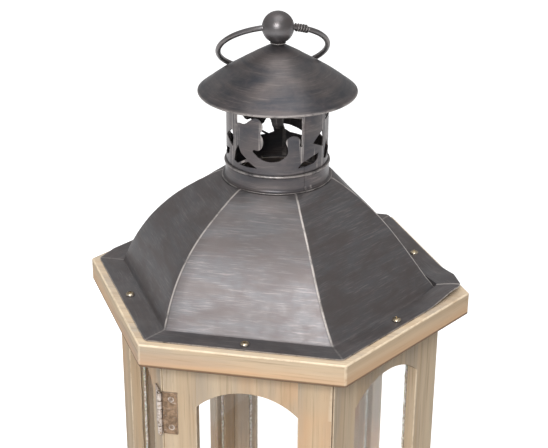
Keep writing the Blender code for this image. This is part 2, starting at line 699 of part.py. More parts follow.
def hinge_leaf(name, hand, own_knuckles, foot):
    """A leaf drawn round its axis, on a face that looks to -Y. hand is 1 for a leaf towards +X."""
    back = BARREL_STANDOFF - JOINT_GAP
    reach = LEAF_REACH + ARRIS_TO_AXIS * sin(SIDE_ANGLE / 2)
    outline = [(0, back - LEAF_THICKNESS), (reach, back - LEAF_THICKNESS), (reach, back), (0, back)]
    plate = [(hand * x, y) for x, y in outline]
    leaf = add_object(name, prism(plate, foot, foot + HINGE_HEIGHT), "hinge_metal")
    length = HINGE_HEIGHT / KNUCKLES
    knuckles, reliefs = [], []
    for k in range(KNUCKLES):
        low, high = foot + k * length, foot + (k + 1) * length
        if k in own_knuckles:
            knuckles.append(cylinder_cutter(KNUCKLE_RADIUS, low + KNUCKLE_GAP / 2, high - KNUCKLE_GAP / 2))
        else:
            spare = KNUCKLE_GAP / 4
            reliefs.append(cylinder_cutter(KNUCKLE_RADIUS + JOINT_GAP, low - spare, high + spare))
    bore = cylinder_cutter(PIN_RADIUS + JOINT_GAP, foot - CUT_SPARE, foot + HINGE_HEIGHT + CUT_SPARE, 12)
    combine(leaf, knuckles, "UNION")
    combine(leaf, [*reliefs, bore])
    screw_x = ARRIS_TO_AXIS * sin(SIDE_ANGLE / 2) + HINGE_SCREW_REACH
    holes = []
    for height in (foot + HINGE_SCREW_INSET, foot + HINGE_HEIGHT - HINGE_SCREW_INSET):
        front = back - LEAF_THICKNESS
        cone = [
            (0, back + CUT_SPARE),
            (HINGE_SCREW_HOLE, back + CUT_SPARE),
            (HINGE_SCREW_HOLE, back - LEAF_THICKNESS * 0.2),
            (HINGE_COUNTERSINK, front),
            (HINGE_COUNTERSINK, front - CUT_SPARE),
            (0, front - CUT_SPARE),
        ]
        hole = cutter(turned([(radius, -depth) for radius, depth in cone], 12))
        hole.matrix_world = Matrix.Translation((hand * screw_x, 0, height)) @ Matrix.Rotation(pi / 2, 4, "X")
        holes.append(hole)
    bpy.context.view_layer.update()
    return combine(leaf, holes)


def hinge_pin(name, foot):
    low, high = foot - JOINT_GAP, foot + HINGE_HEIGHT + JOINT_GAP
    profile = [
        (0, low - PIN_HEAD_HEIGHT),
        (PIN_HEAD_RADIUS, low - PIN_HEAD_HEIGHT / 2),
        (PIN_HEAD_RADIUS, low),
        (PIN_RADIUS, low),
        (PIN_RADIUS, high),
        (PIN_HEAD_RADIUS, high),
        (PIN_HEAD_RADIUS, high + PIN_HEAD_HEIGHT / 2),
        (0, high + PIN_HEAD_HEIGHT),
    ]
    return add_object(name, turned(profile, 12), "hinge_metal", round_piece=True)


def make_hinges():
    """Both hinges. The frame leaves and pins stay, and the door leaves are returned."""
    door_leaves = []
    feet = {"upper": BODY_HEAD - HINGE_INSET - HINGE_HEIGHT, "lower": BODY_FOOT + HINGE_INSET}
    for which, foot in feet.items():
        frame_leaf = hinge_leaf(f"{which}_hinge_frame_leaf", -1, (0, 2, 4), foot)
        frame_leaf.rotation_euler.z = -SIDE_ANGLE
        door_leaf = hinge_leaf(f"{which}_hinge_door_leaf", 1, (1, 3), foot)
        pin = hinge_pin(f"{which}_hinge_pin", foot)
        for piece in (frame_leaf, door_leaf, pin):
            piece.location = (HINGE_X, HINGE_Y, 0)
        door_leaves.append(door_leaf)
    return door_leaves


# --- Small fittings ---------------------------------------------------------------------------


def make_knob(right_stile):
    """The door's knob, with its stem in a blind hole of the right stile."""
    place = Matrix.Translation(((BODY_RADIUS - STILE_WIDTH) / 2, -BODY_APOTHEM, (BODY_FOOT + BODY_HEAD) / 2))
    place = place @ Matrix.Rotation(pi / 2, 4, "X")
    hole = cylinder_cutter(KNOB_STEM_RADIUS + JOINT_GAP, -KNOB_STEM_DEPTH - JOINT_GAP, CUT_SPARE, 12)
    hole.matrix_world = place
    bpy.context.view_layer.update()
    combine(right_stile, [hole])
    profile = [
        (0, -KNOB_STEM_DEPTH),
        (KNOB_STEM_RADIUS, -KNOB_STEM_DEPTH),
        (KNOB_STEM_RADIUS, JOINT_GAP),
        (KNOB_RADIUS * 0.75, JOINT_GAP),
        (KNOB_RADIUS * 0.70, KNOB_REACH * 0.14),
        (KNOB_RADIUS * 0.45, KNOB_REACH * 0.30),
        (KNOB_RADIUS * 0.55, KNOB_REACH * 0.48),
        (KNOB_RADIUS * 0.97, KNOB_REACH * 0.62),
        (KNOB_RADIUS, KNOB_REACH * 0.78),
        (KNOB_RADIUS * 0.75, KNOB_REACH * 0.93),
        (0, KNOB_REACH),
    ]
    knob = add_object("door_knob", turned(profile, 20), "hinge_metal", round_piece=True)
    knob.matrix_world = place
    return knob


def make_catch():
    """The magnet on the base board; returns the strike plate on the door's bottom rail."""
    width, depth, height = CATCH_SIZE
    middle = OPENING_WIDTH / 2 - CATCH_INSET
    left, right = middle - width / 2, middle + width / 2
    front = PANEL_BACK + JOINT_GAP + STRIKE_THICKNESS + JOINT_GAP
    magnet = slab(box_outline(left, right, BODY_FOOT, BODY_FOOT + height), front, front + depth)
    add_object("magnet_catch", magnet, "magnet_plastic")
    strike_front = PANEL_BACK + JOINT_GAP
    low = BODY_FOOT + DOOR_END_GAP
    plate = slab(box_outline(left, right, low, low + height), strike_front, strike_front + STRIKE_THICKNESS)
    return add_object("strike_plate", plate, "tray_metal")


def make_tray():
    foot = BOARD_THICKNESS + JOINT_GAP
    floor = foot + TRAY_SHEET
    hole = TRAY_SCREW_RADIUS + BORE_GAP
    rim = foot + TRAY_RIM_HEIGHT
    profile = [
        (hole, foot),
        (TRAY_RADIUS * 0.93, foot),
        (TRAY_RADIUS * 0.99, foot + TRAY_RIM_HEIGHT * 0.35),
        (TRAY_RADIUS, rim),
        (TRAY_RADIUS - TRAY_SHEET, rim),
        (TRAY_RADIUS * 0.99 - TRAY_SHEET, foot + TRAY_RIM_HEIGHT * 0.40),
        (TRAY_RADIUS * 0.93 - TRAY_SHEET * 0.4, floor),
        (hole, floor),
    ]
    add_object("candle_tray", turned(profile, 32, closed=True), "tray_metal", round_piece=True)
    seat = floor + JOINT_GAP
    end = BOARD_THICKNESS - TRAY_SCREW_LENGTH + JOINT_GAP
    screw = [
        (0, end),
        (TRAY_SCREW_RADIUS, end + TRAY_SCREW_RADIUS),
        (TRAY_SCREW_RADIUS, seat),
        (TRAY_SCREW_HEAD_RADIUS, seat),
        (TRAY_SCREW_HEAD_RADIUS * 0.8, seat + TRAY_SCREW_HEAD_RADIUS * 0.4),
        (0, seat + TRAY_SCREW_HEAD_RADIUS * 0.6),
    ]
    add_object("tray_screw", turned(screw, 10), "screw_metal", round_piece=True)


def hang_door(pieces):
    """Parents the door's pieces to an empty on the hinges' axis, without moving them."""
    axis = bpy.data.objects.new("door_axis", None)
    axis.location = (HINGE_X, HINGE_Y, 0)
    bpy.context.scene.collection.objects.link(axis)
    bpy.context.view_layer.update()
    for piece in pieces:
        piece.parent = axis
        piece.matrix_parent_inverse = axis.matrix_world.inverted()


def build():
    clear_scene()
    make_boards()
    make_fixed_sides()
    door = make_door()
    make_roof()
    make_roof_screws()
    make_vent()
    make_collar()
    make_cap()
    make_strap()
    make_finial()
    make_nut()
    make_ring()
    door += make_hinges()
    right_stile = bpy.data.objects["door_right_stile"]
    door.append(make_knob(right_stile))
    door.append(make_catch())
    make_tray()
    hang_door(door)


build()
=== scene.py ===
import json
from math import atan2, cos, hypot, pi, radians, sin

import bmesh
import bpy
from mathutils import Matrix, Vector


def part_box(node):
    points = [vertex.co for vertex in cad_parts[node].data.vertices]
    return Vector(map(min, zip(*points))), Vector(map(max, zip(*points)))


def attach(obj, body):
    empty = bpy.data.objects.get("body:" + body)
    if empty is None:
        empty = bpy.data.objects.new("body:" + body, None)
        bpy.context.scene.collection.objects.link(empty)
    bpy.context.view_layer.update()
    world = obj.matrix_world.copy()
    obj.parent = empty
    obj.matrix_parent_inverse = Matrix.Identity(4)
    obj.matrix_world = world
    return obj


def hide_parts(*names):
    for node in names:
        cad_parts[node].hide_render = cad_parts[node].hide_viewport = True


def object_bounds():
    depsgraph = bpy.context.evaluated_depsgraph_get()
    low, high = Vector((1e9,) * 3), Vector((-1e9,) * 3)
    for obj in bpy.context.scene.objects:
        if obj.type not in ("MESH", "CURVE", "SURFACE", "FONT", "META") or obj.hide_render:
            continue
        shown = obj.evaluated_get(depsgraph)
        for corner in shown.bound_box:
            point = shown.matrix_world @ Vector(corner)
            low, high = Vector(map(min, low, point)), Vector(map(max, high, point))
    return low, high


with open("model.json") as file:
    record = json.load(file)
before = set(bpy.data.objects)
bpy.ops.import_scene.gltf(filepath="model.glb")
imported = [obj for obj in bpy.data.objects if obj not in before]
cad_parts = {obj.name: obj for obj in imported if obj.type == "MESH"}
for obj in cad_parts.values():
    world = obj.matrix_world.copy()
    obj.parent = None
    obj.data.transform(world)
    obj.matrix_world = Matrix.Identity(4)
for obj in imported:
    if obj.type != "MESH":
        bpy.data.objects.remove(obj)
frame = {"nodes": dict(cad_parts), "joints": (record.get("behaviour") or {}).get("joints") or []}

cadLow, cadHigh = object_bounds()
nodes = frame["nodes"]
joints = {joint["name"]: joint for joint in frame["joints"]}
sideTurns = {"door": 0, "right_front": 60, "right_rear": 120, "rear": 180, "left_rear": 240, "left_front": 300}
print("frame loaded:", len(nodes), "nodes")


# selecting and editing

def clearPicks():
    if bpy.context.object and bpy.context.object.mode != "OBJECT":
        bpy.ops.object.mode_set(mode="OBJECT")
    bpy.ops.object.select_all(action="DESELECT")


def pick(*pieces):
    clearPicks()
    for piece in pieces:
        piece.select_set(True)
    bpy.context.view_layer.objects.active = pieces[0]


def openEdit(piece, mode="VERT"):
    pick(piece)
    bpy.ops.object.mode_set(mode="EDIT")
    bpy.ops.mesh.select_mode(type=mode)


def closeEdit():
    bpy.ops.object.mode_set(mode="OBJECT")


def mergeAll(reach=0.000002):  # doubled points, closer than this
    bpy.ops.mesh.select_all(action="SELECT")
    bpy.ops.mesh.remove_doubles(threshold=reach)


def selectWhere(piece, kind, test):  # kind is verts, edges or faces
    bpy.ops.mesh.select_all(action="DESELECT")
    shape = bmesh.from_edit_mesh(piece.data)
    for part in getattr(shape, kind):
        if test(part):
            part.select_set(True)
    bmesh.update_edit_mesh(piece.data)


def started(name):  # the primitive just added, with its place in its mesh
    piece = bpy.context.object
    piece.name = name
    piece.data.name = name
    bpy.ops.object.transform_apply(location=True, rotation=True, scale=True)
    return piece


def placed(piece, matrix):
    pick(piece)
    piece.matrix_world = matrix
    bpy.ops.object.transform_apply(location=True, rotation=True, scale=True)
    return piece


def applied(piece, kind, **settings):
    pick(piece)
    step = piece.modifiers.new(kind.lower(), kind)
    for name, value in settings.items():
        setattr(step, name, value)
    bpy.ops.object.modifier_apply(modifier=step.name)
    return piece


def joined(first, *others):
    pick(first, *others)
    bpy.ops.object.join()
    return first


def cut(piece, tool, operation="DIFFERENCE"):
    applied(piece, "BOOLEAN", operation=operation, object=tool, solver="EXACT")
    bpy.data.objects.remove(tool, do_unlink=True)
    return piece


def copied(piece, name):
    other = piece.copy()
    other.data = piece.data.copy()
    other.name = name
    other.data.name = name
    bpy.context.scene.collection.objects.link(other)
    return other


def cadCopy(node, name):  # a copy of a CAD node with its triangles merged back into whole faces
    piece = bpy.data.objects.new(name, nodes[node].data.copy())
    piece.data.name = name
    piece.data.materials.clear()
    bpy.context.scene.collection.objects.link(piece)
    openEdit(piece)
    mergeAll()
    bpy.ops.mesh.dissolve_limited(angle_limit=radians(1))
    closeEdit()
    return piece


def spread(piece):  # lowest and highest corner of a piece's mesh
    corners = [vertex.co for vertex in piece.data.vertices]
    low = Vector([min(corner[axis] for corner in corners) for axis in range(3)])
    high = Vector([max(corner[axis] for corner in corners) for axis in range(3)])
    return low, high


def block(name, low, high):
    clearPicks()
    low, high = Vector(low), Vector(high)
    bpy.ops.mesh.primitive_cube_add(size=1, location=(low + high) / 2, scale=high - low)
    return started(name)


def rod(name, radius, start, end, vertices=32):  # a cylinder from one point to another
    clearPicks()
    start, end = Vector(start), Vector(end)
    along = end - start
    bpy.ops.mesh.primitive_cylinder_add(vertices=vertices, radius=radius, depth=along.length)
    piece = started(name)
    turn = along.to_track_quat("Z", "Y").to_matrix().to_4x4()
    return placed(piece, Matrix.Translation((start + end) / 2) @ turn)


def curved(start, handleA, handleB, end, steps):  # points on a Bezier curve, both ends included
    points = []
    for k in range(steps + 1):
        t = k / steps
        shares = ((1 - t) ** 3, 3 * t * (1 - t) ** 2, 3 * t * t * (1 - t), t ** 3)
        corners = (start, handleA, handleB, end)
        points.append(tuple(sum(s * p[i] for s, p in zip(shares, corners)) for i in (0, 1)))
    return points


def arc(centre, radius, fromDegrees, toDegrees, steps):
    turns = [radians(fromDegrees + (toDegrees - fromDegrees) * k / steps) for k in range(steps + 1)]
    return [(centre[0] + radius * cos(turn), centre[1] + radius * sin(turn)) for turn in turns]


def shifted(outline, thickness):  # an outline moved square to itself
    moved = []
    for k, (x, y) in enumerate(outline):
        before, after = outline[max(k - 1, 0)], outline[min(k + 1, len(outline) - 1)]
        along = Vector((after[0] - before[0], after[1] - before[1])).normalized()
        moved.append((x + along.y * thickness, y - along.x * thickness))
    return moved


def turned(name, outline, steps):  # an outline of (radius, height) drawn point by point and spun about Z
    clearPicks()
    bpy.ops.mesh.primitive_plane_add(size=0.001, location=(outline[0][0], 0, outline[0][1]))
    piece = started(name)
    openEdit(piece)
    bpy.ops.mesh.select_all(action="SELECT")
    bpy.ops.mesh.merge(type="CENTER")
    for (fromX, fromZ), (toX, toZ) in zip(outline, outline[1:]):
        bpy.ops.mesh.extrude_region_move(TRANSFORM_OT_translate={"value": (toX - fromX, 0, toZ - fromZ)})
    bpy.ops.mesh.select_all(action="SELECT")
    bpy.ops.mesh.spin(steps=steps, angle=2 * pi, center=(0, 0, 0), axis=(0, 0, 1))
    mergeAll()
    bpy.ops.mesh.normals_make_consistent(inside=False)
    closeEdit()
    return piece


def dented(piece, size, depth, group="", direction="NORMAL"):  # slight hollows of hand-worked sheet
    clouds = bpy.data.textures.new(piece.name + "Dents", "CLOUDS")
    clouds.noise_scale = size
    return applied(piece, "DISPLACE", texture=clouds, strength=depth, mid_level=0.75, direction=direction,
                   texture_coords="LOCAL", vertex_group=group)


def wireCurve(name, radius, places, widths=None, closed=False):  # a round wire through the places, as a mesh
    line = bpy.data.curves.new(name, "CURVE")
    line.dimensions = "3D"
    line.bevel_depth = radius
    line.bevel_resolution = 2
    line.use_fill_caps = not closed
    spline = line.splines.new("POLY")
    spline.points.add(len(places) - 1)
    for k, place in enumerate(places):
        spline.points[k].co = (*place, 1)
        if widths:
            spline.points[k].radius = widths[k]
    spline.use_cyclic_u = closed
    return curveMesh(name, line)


def curveMesh(name, line):
    piece = bpy.data.objects.new(name, line)
    bpy.context.scene.collection.objects.link(piece)
    pick(piece)
    bpy.ops.object.convert(target="MESH")
    return bpy.context.object


# what the materials read from a piece

def markWearAndHighlight(piece, radius=0.0012, narrow=0.0014):  # 1 on rounded outer edges, 0 on flats and hollows; it places edge abrasion and a painted highlight
    shape = bmesh.new()
    shape.from_mesh(piece.data)
    shape.normal_update()
    bend = []
    for corner in shape.verts:
        sharpest = 0
        for edge in corner.link_edges:
            along = edge.other_vert(corner).co - corner.co
            sharpest = max(sharpest, -2 * along.dot(corner.normal) / max(along.length_squared, 1e-12))
        bend.append(min(max((sharpest * radius - 0.6) / 0.4, 0), 1))
    wear = []
    for face in shape.faces:
        slim = face.calc_area() / max(max(edge.calc_length() for edge in face.edges), 1e-9) < narrow
        wear += [bend[loop.vert.index] if slim else 0 for loop in face.loops]
    shape.free()
    layer = piece.data.attributes.new("wear", "FLOAT", "CORNER")
    layer.data.foreach_set("value", wear)


def markGrain(piece, across, along, shift):  # metres across, through and along the fibres
    through = Vector(across).cross(Vector(along))
    places = []
    for vertex in piece.data.vertices:
        place = vertex.co + Vector(shift)
        places += [place.dot(Vector(across)), place.dot(through), place.dot(Vector(along))]
    layer = piece.data.attributes.new("grain", "FLOAT_VECTOR", "POINT")
    layer.data.foreach_set("vector", places)


def finish(piece, material, body, replaced=(), angle=35, weighted=False):
    piece.data.materials.clear()
    piece.data.materials.append(material)
    pick(piece)
    bpy.ops.object.shade_smooth_by_angle(angle=radians(angle))
    if weighted:
        applied(piece, "WEIGHTED_NORMAL", keep_sharp=True, weight=60)
    if "wear" not in piece.data.attributes:
        markWearAndHighlight(piece)
    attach(piece, body)
    if replaced:
        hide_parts(*replaced)
    return piece


# building shader nodes

def tone(red, green, blue):  # a colour as seen, from 0 to 255, made linear
    parts = [value / 255 for value in (red, green, blue)]
    return (*[part / 12.92 if part <= 0.04045 else ((part + 0.055) / 1.055) ** 2.4 for part in parts], 1)


def wire(tree, made, wires):  # a socket is linked, anything else is a constant
    for name, value in wires.items():
        if isinstance(value, bpy.types.NodeSocket):
            tree.links.new(value, made.inputs[name])
        else:
            made.inputs[name].default_value = value


def put(tree, kind, wires=None, **settings):
    made = tree.nodes.new("ShaderNode" + kind)
    for name, value in settings.items():
        setattr(made, name, value)
    wire(tree, made, wires or {})
    return made


def doMath(tree, operation, first, second=0.0, clamp=False):
    return put(tree, "Math", {0: first, 1: second}, operation=operation, use_clamp=clamp).outputs[0]


def blended(tree, share, first, second):
    return put(tree, "Mix", {0: share, 6: first, 7: second}, data_type="RGBA").outputs[2]


def stretched(tree, vector, scale):
    return put(tree, "Mapping", {"Vector": vector, "Scale": scale}).outputs[0]


def speckle(tree, vector, scale=1.0, detail=3.0, roughness=0.55, distortion=0.0):
    wires = {"Vector": vector, "Scale": scale, "Detail": detail, "Roughness": roughness, "Distortion": distortion}
    return put(tree, "TexNoise", wires).outputs[0]


def between(tree, value, low, high):  # 0 below low, 1 above high, smooth in between
    return put(tree, "MapRange", {0: value, 1: low, 2: high}, interpolation_type="SMOOTHSTEP").outputs[0]


def newGroup(name, inputs, outputs):
    tree = bpy.data.node_groups.new(name, "ShaderNodeTree")
    for label, kind, value in inputs:
        socket = tree.interface.new_socket(name=label, in_out="INPUT", socket_type="NodeSocket" + kind)
        if kind == "Float":
            socket.default_value = value
    for label in outputs:
        tree.interface.new_socket(name=label, in_out="OUTPUT", socket_type="NodeSocketFloat")
    given = tree.nodes.new("NodeGroupInput")
    result = tree.nodes.new("NodeGroupOutput")
    return tree, given.outputs, result.inputs


def useGroup(tree, group, wires):
    made = tree.nodes.new("ShaderNodeGroup")
    made.node_tree = group
    wire(tree, made, wires)
    return made.outputs


def newMaterial(name, **shaderValues):
    made = bpy.data.materials.new(name)
    made.use_nodes = True
    tree = made.node_tree
    shader = tree.nodes["Principled BSDF"]
    for label, value in shaderValues.items():
        shader.inputs[label.replace("_", " ")].default_value = value
    return made, tree, shader


def roughen(tree, shader, height, strength, distance):
    bump = put(tree, "Bump", {"Strength": strength, "Distance": distance, "Height": height})
    tree.links.new(bump.outputs[0], shader.inputs["Normal"])


def objectPlace(tree):
    return put(tree, "TexCoord").outputs["Object"]


def attribute(tree, name, socket="Fac"):
    return put(tree, "Attribute", attribute_name=name).outputs[socket]


def heightOf(tree, place):
    return put(tree, "SeparateXYZ", {0: place}).outputs[2]


def ranged(tree, value, low, high, fromLow=0.0, fromHigh=1.0):
    return put(tree, "MapRange", {0: value, 1: fromLow, 2: fromHigh, 3: low, 4: high}).outputs[0]


# shared effects

def grainGroup():  # fibres, bands and clouds of old pine, Vector in metres with Z along the fibres
    tree, given, result = newGroup(
        "woodGrain", [("Vector", "Vector", 0)], ["Fibre", "Pore", "Band", "Wash", "Cloud"])
    vector = given["Vector"]
    wander = put(tree, "TexNoise", {"Vector": stretched(tree, vector, (30, 30, 9)), "Scale": 1.0, "Detail": 2.0})
    swayed = put(tree, "VectorMath", {0: wander.outputs[1], 1: (0.5, 0.5, 0.5)}, operation="SUBTRACT")
    swayed = put(tree, "VectorMath", {0: swayed.outputs[0], "Scale": 0.004}, operation="SCALE")
    lines = put(tree, "VectorMath", {0: vector, 1: swayed.outputs[0]}, operation="ADD").outputs[0]
    fibre = speckle(tree, stretched(tree, lines, (620, 620, 11)), detail=4, roughness=0.62)
    pore = speckle(tree, stretched(tree, lines, (1900, 1900, 70)), detail=2)
    band = speckle(tree, stretched(tree, lines, (120, 120, 2.6)), detail=3, roughness=0.5)
    wash = speckle(tree, stretched(tree, lines, (60, 60, 7)), detail=5, roughness=0.6, distortion=0.4)
    cloud = speckle(tree, stretched(tree, vector, (16, 16, 8)), detail=3)
    for label, value in (("Fibre", fibre), ("Pore", pore), ("Band", band), ("Wash", wash), ("Cloud", cloud)):
        tree.links.new(value, result[label])
    return tree


def wearAndHighlightGroup():  # the edge mark of a piece, broken up into scuffs: edge abrasion together with a painted highlight
    tree, given, result = newGroup(
        "edgeWear", [("Vector", "Vector", 0), ("Mark", "Float", 0.0), ("Amount", "Float", 1.0)], ["Mask"])
    rub = speckle(tree, given["Vector"], 140.0, detail=5, roughness=0.65)
    kept = between(tree, rub, 0.3, 0.58)
    mask = doMath(tree, "MULTIPLY", given["Mark"], kept)
    tree.links.new(doMath(tree, "MULTIPLY", mask, given["Amount"], clamp=True), result["Mask"])
    return tree


def brushGroup():  # dry-brushed streaks that run level round the lantern
    tree, given, result = newGroup(
        "dryBrush", [("Vector", "Vector", 0), ("Climb", "Float", 0.0)], ["Streak", "Hair", "Patch", "Mottle"])
    apart = put(tree, "SeparateXYZ", {0: given["Vector"]}).outputs
    level = put(tree, "CombineXYZ", {0: apart[0], 1: apart[1], 2: given["Climb"]}).outputs[0]
    hair = speckle(tree, stretched(tree, level, (80, 80, 1500)), detail=3, roughness=0.65)
    broad = speckle(tree, stretched(tree, level, (46, 46, 500)), detail=4, roughness=0.65, distortion=0.3)
    patch = speckle(tree, stretched(tree, level, (24, 24, 60)), detail=4, roughness=0.6, distortion=0.6)
    mottle = speckle(tree, given["Vector"], 130.0, detail=5, roughness=0.65)
    streak = doMath(tree, "MULTIPLY", between(tree, hair, 0.44, 0.66), between(tree, broad, 0.40, 0.62))
    streak = doMath(tree, "MULTIPLY", streak, between(tree, patch, 0.30, 0.62))
    for label, value in (("Streak", streak), ("Hair", hair), ("Patch", patch), ("Mottle", mottle)):
        tree.links.new(value, result[label])
    return tree


def climbGroup():  # how far down and out a point lies on the roof and on round pieces, and the roof's ridges
    tree, given, result = newGroup("sheetClimb", [("Vector", "Vector", 0)], ["Hexagon", "Round", "Ridge"])
    flat = put(tree, "VectorMath", {0: given["Vector"], 1: (1, 1, 0)}, operation="MULTIPLY").outputs[0]
    reaches = []
    for turn in (30, 90, 150):
        square = (cos(radians(turn)), sin(radians(turn)), 0)
        reach = put(tree, "VectorMath", {0: flat, 1: square}, operation="DOT_PRODUCT").outputs["Value"]
        reaches.append(doMath(tree, "ABSOLUTE", reach))
    high = doMath(tree, "MAXIMUM", reaches[0], reaches[1])
    low = doMath(tree, "MINIMUM", reaches[0], reaches[1])
    outer = doMath(tree, "MAXIMUM", high, reaches[2])
    second = doMath(tree, "MAXIMUM", low, doMath(tree, "MINIMUM", high, reaches[2]))
    away = doMath(tree, "SUBTRACT", outer, second)
    radius = put(tree, "VectorMath", {0: flat}, operation="LENGTH").outputs["Value"]
    height = put(tree, "SeparateXYZ", {0: given["Vector"]}).outputs[2]
    tree.links.new(doMath(tree, "SUBTRACT", height, outer), result["Hexagon"])
    tree.links.new(doMath(tree, "SUBTRACT", height, radius), result["Round"])
    tree.links.new(doMath(tree, "SUBTRACT", 1.0, between(tree, away, 0.0002, 0.001)), result["Ridge"])
    return tree


def dustGroup():  # a thin film on what faces up
    tree, given, result = newGroup("dustFilm", [("Vector", "Vector", 0), ("Amount", "Float", 0.2)], ["Mask"])
    facing = put(tree, "SeparateXYZ", {0: put(tree, "NewGeometry").outputs["Normal"]}).outputs[2]
    lying = between(tree, facing, 0.55, 1.0)
    cloud = between(tree, speckle(tree, given["Vector"], 38.0, detail=5, roughness=0.65), 0.35, 0.7)
    mask = doMath(tree, "MULTIPLY", lying, cloud)
    tree.links.new(doMath(tree, "MULTIPLY", mask, given["Amount"], clamp=True), result["Mask"])
    return tree


woodGrain = grainGroup()
edgeWear = wearAndHighlightGroup()
dryBrush = brushGroup()
sheetClimb = climbGroup()
dustFilm = dustGroup()


# materials

woodTones = {
    "pale": tone(214, 192, 162),
    "tan": tone(198, 172, 140),
    "grey": tone(172, 160, 146),
    "fibre": tone(140, 114, 88),
    "warm": tone(236, 178, 124),
    # light cream on rounded edges: partly abraded wood, partly a painted highlight
    "rubbedAndLit": tone(240, 222, 194),
    "dust": tone(186, 178, 166),
    # a dark brown, painted as shade along the lower edge of the top board
    "stainAndShade": tone(92, 66, 44),
}


def makeWood(name, greyShare, warmLow=None, warmHigh=None):  # warmth grows from warmHigh down to warmLow
    made, tree, shader = newMaterial(name, Roughness=0.7)
    place = objectPlace(tree)
    fibres = attribute(tree, "grain", "Vector")
    mark = attribute(tree, "wear")
    grain = useGroup(tree, woodGrain, {"Vector": fibres})
    colour = blended(tree, between(tree, grain["Band"], 0.3, 0.7), woodTones["pale"], woodTones["tan"])
    washed = doMath(tree, "MULTIPLY", between(tree, grain["Wash"], 0.38, 0.76), greyShare)
    colour = blended(tree, washed, colour, woodTones["grey"])
    lines = doMath(tree, "MULTIPLY", between(tree, grain["Fibre"], 0.5, 0.74), 0.5)
    colour = blended(tree, lines, colour, woodTones["fibre"])
    pits = doMath(tree, "MULTIPLY", between(tree, grain["Pore"], 0.62, 0.78), 0.3)
    colour = blended(tree, pits, colour, woodTones["fibre"])
    warmth = between(tree, grain["Cloud"], 0.48, 0.72)
    if warmLow is not None:
        height = heightOf(tree, place)
        shared = ranged(tree, height, 0.95, 0.0, warmLow, warmHigh)
        warmth = doMath(tree, "MULTIPLY", shared, between(tree, grain["Cloud"], 0.2, 0.5))
    colour = blended(tree, doMath(tree, "MULTIPLY", warmth, 0.55), colour, woodTones["warm"])
    # rounded edges lighter: partly abrasion, partly a painted highlight
    rubbedAndLit = useGroup(tree, edgeWear, {"Vector": place, "Mark": mark, "Amount": 0.6})["Mask"]
    colour = blended(tree, rubbedAndLit, colour, woodTones["rubbedAndLit"])
    dust = useGroup(tree, dustFilm, {"Vector": place, "Amount": 0.35})["Mask"]
    colour = blended(tree, dust, colour, woodTones["dust"])
    if warmLow is not None:  # painted shade: the lower edge of the top board is darkened as the shadow in the gap beneath it
        above = doMath(tree, "SUBTRACT", height, topBoardLow.z)
        paintedGapShade = doMath(tree, "SUBTRACT", 1.0, between(tree, doMath(tree, "ABSOLUTE", above), 0.0016, 0.0026))
        colour = blended(tree, doMath(tree, "MULTIPLY", paintedGapShade, 0.85), colour, woodTones["stainAndShade"])
    gloss = ranged(tree, grain["Fibre"], 0.62, 0.82)
    wire(tree, shader, {"Base Color": colour, "Roughness": gloss})
    relief = doMath(tree, "ADD", doMath(tree, "MULTIPLY", grain["Fibre"], 0.7), grain["Pore"])
    roughen(tree, shader, relief, 0.3, 0.0004)
    return made


metalTones = {
    "brown": tone(94, 88, 87),
    "steel": tone(98, 97, 99),
    "plum": tone(104, 94, 95),
    "streak": tone(168, 156, 152),
    "ink": tone(64, 65, 70),
    "ash": tone(92, 86, 85),
    # pale metal for rounded edges and scratches: partly abrasion, partly a painted highlight
    "rubbedAndLit": tone(216, 208, 202),
    "dust": tone(160, 154, 152),
}


def makeSheetMetal(name, climb, streaks, ridged=False, gloss=0.42, wornAndLit=0.5, dark="brown", light="steel"):
    made, tree, shader = newMaterial(name, Metallic=0.75)
    place = objectPlace(tree)
    mark = attribute(tree, "wear")
    seat = place
    if ridged:
        share = ranged(tree, heightOf(tree, place), 0.0, 1.0, brimTop, roofHigh.z)
        swayed = doMath(tree, "MULTIPLY", share, doMath(tree, "SUBTRACT", 1.0, share))
        swayed = doMath(tree, "MULTIPLY", swayed, 4 * roofShape["sway"])
        moved = put(tree, "CombineXYZ", {0: swayed}).outputs[0]
        seat = put(tree, "VectorMath", {0: place, 1: moved}, operation="ADD").outputs[0]
    climbs = useGroup(tree, sheetClimb, {"Vector": seat})
    brush = useGroup(tree, dryBrush, {"Vector": place, "Climb": climbs[climb]})
    colour = blended(tree, between(tree, brush["Patch"], 0.3, 0.7), metalTones[dark], metalTones[light])
    plum = doMath(tree, "MULTIPLY", between(tree, brush["Mottle"], 0.45, 0.75), 0.35)
    colour = blended(tree, plum, colour, metalTones["plum"])
    colour = blended(tree, doMath(tree, "MULTIPLY", brush["Streak"], streaks), colour, metalTones["streak"])
    # rounded edges lighter, such as the cap's rolled rim and the seam: partly abrasion, partly a painted
    # highlight
    rubbedAndLit = useGroup(tree, edgeWear, {"Vector": place, "Mark": mark, "Amount": wornAndLit})["Mask"]
    colour = blended(tree, rubbedAndLit, colour, metalTones["rubbedAndLit"])
    # a light line along the ridges, fainter on the brim: partly abraded paint, partly a painted highlight
    if ridged:
        share = ranged(tree, heightOf(tree, place), 0.25, 0.8, brimTop + 0.001, brimTop + 0.004)
        share = doMath(tree, "MULTIPLY", share, between(tree, brush["Mottle"], 0.25, 0.55))
        ridge = doMath(tree, "MULTIPLY", climbs["Ridge"], share)
        colour = blended(tree, ridge, colour, metalTones["rubbedAndLit"])
    dust = useGroup(tree, dustFilm, {"Vector": place, "Amount": 0.16})["Mask"]
    colour = blended(tree, dust, colour, metalTones["dust"])
    rough = ranged(tree, brush["Mottle"], gloss - 0.03, gloss + 0.05, 0.3, 0.7)
    wire(tree, shader, {"Base Color": colour, "Roughness": rough})
    relief = doMath(tree, "ADD", doMath(tree, "MULTIPLY", brush["Hair"], 0.35), brush["Mottle"])
    roughen(tree, shader, relief, 0.12, 0.0006)
    return made


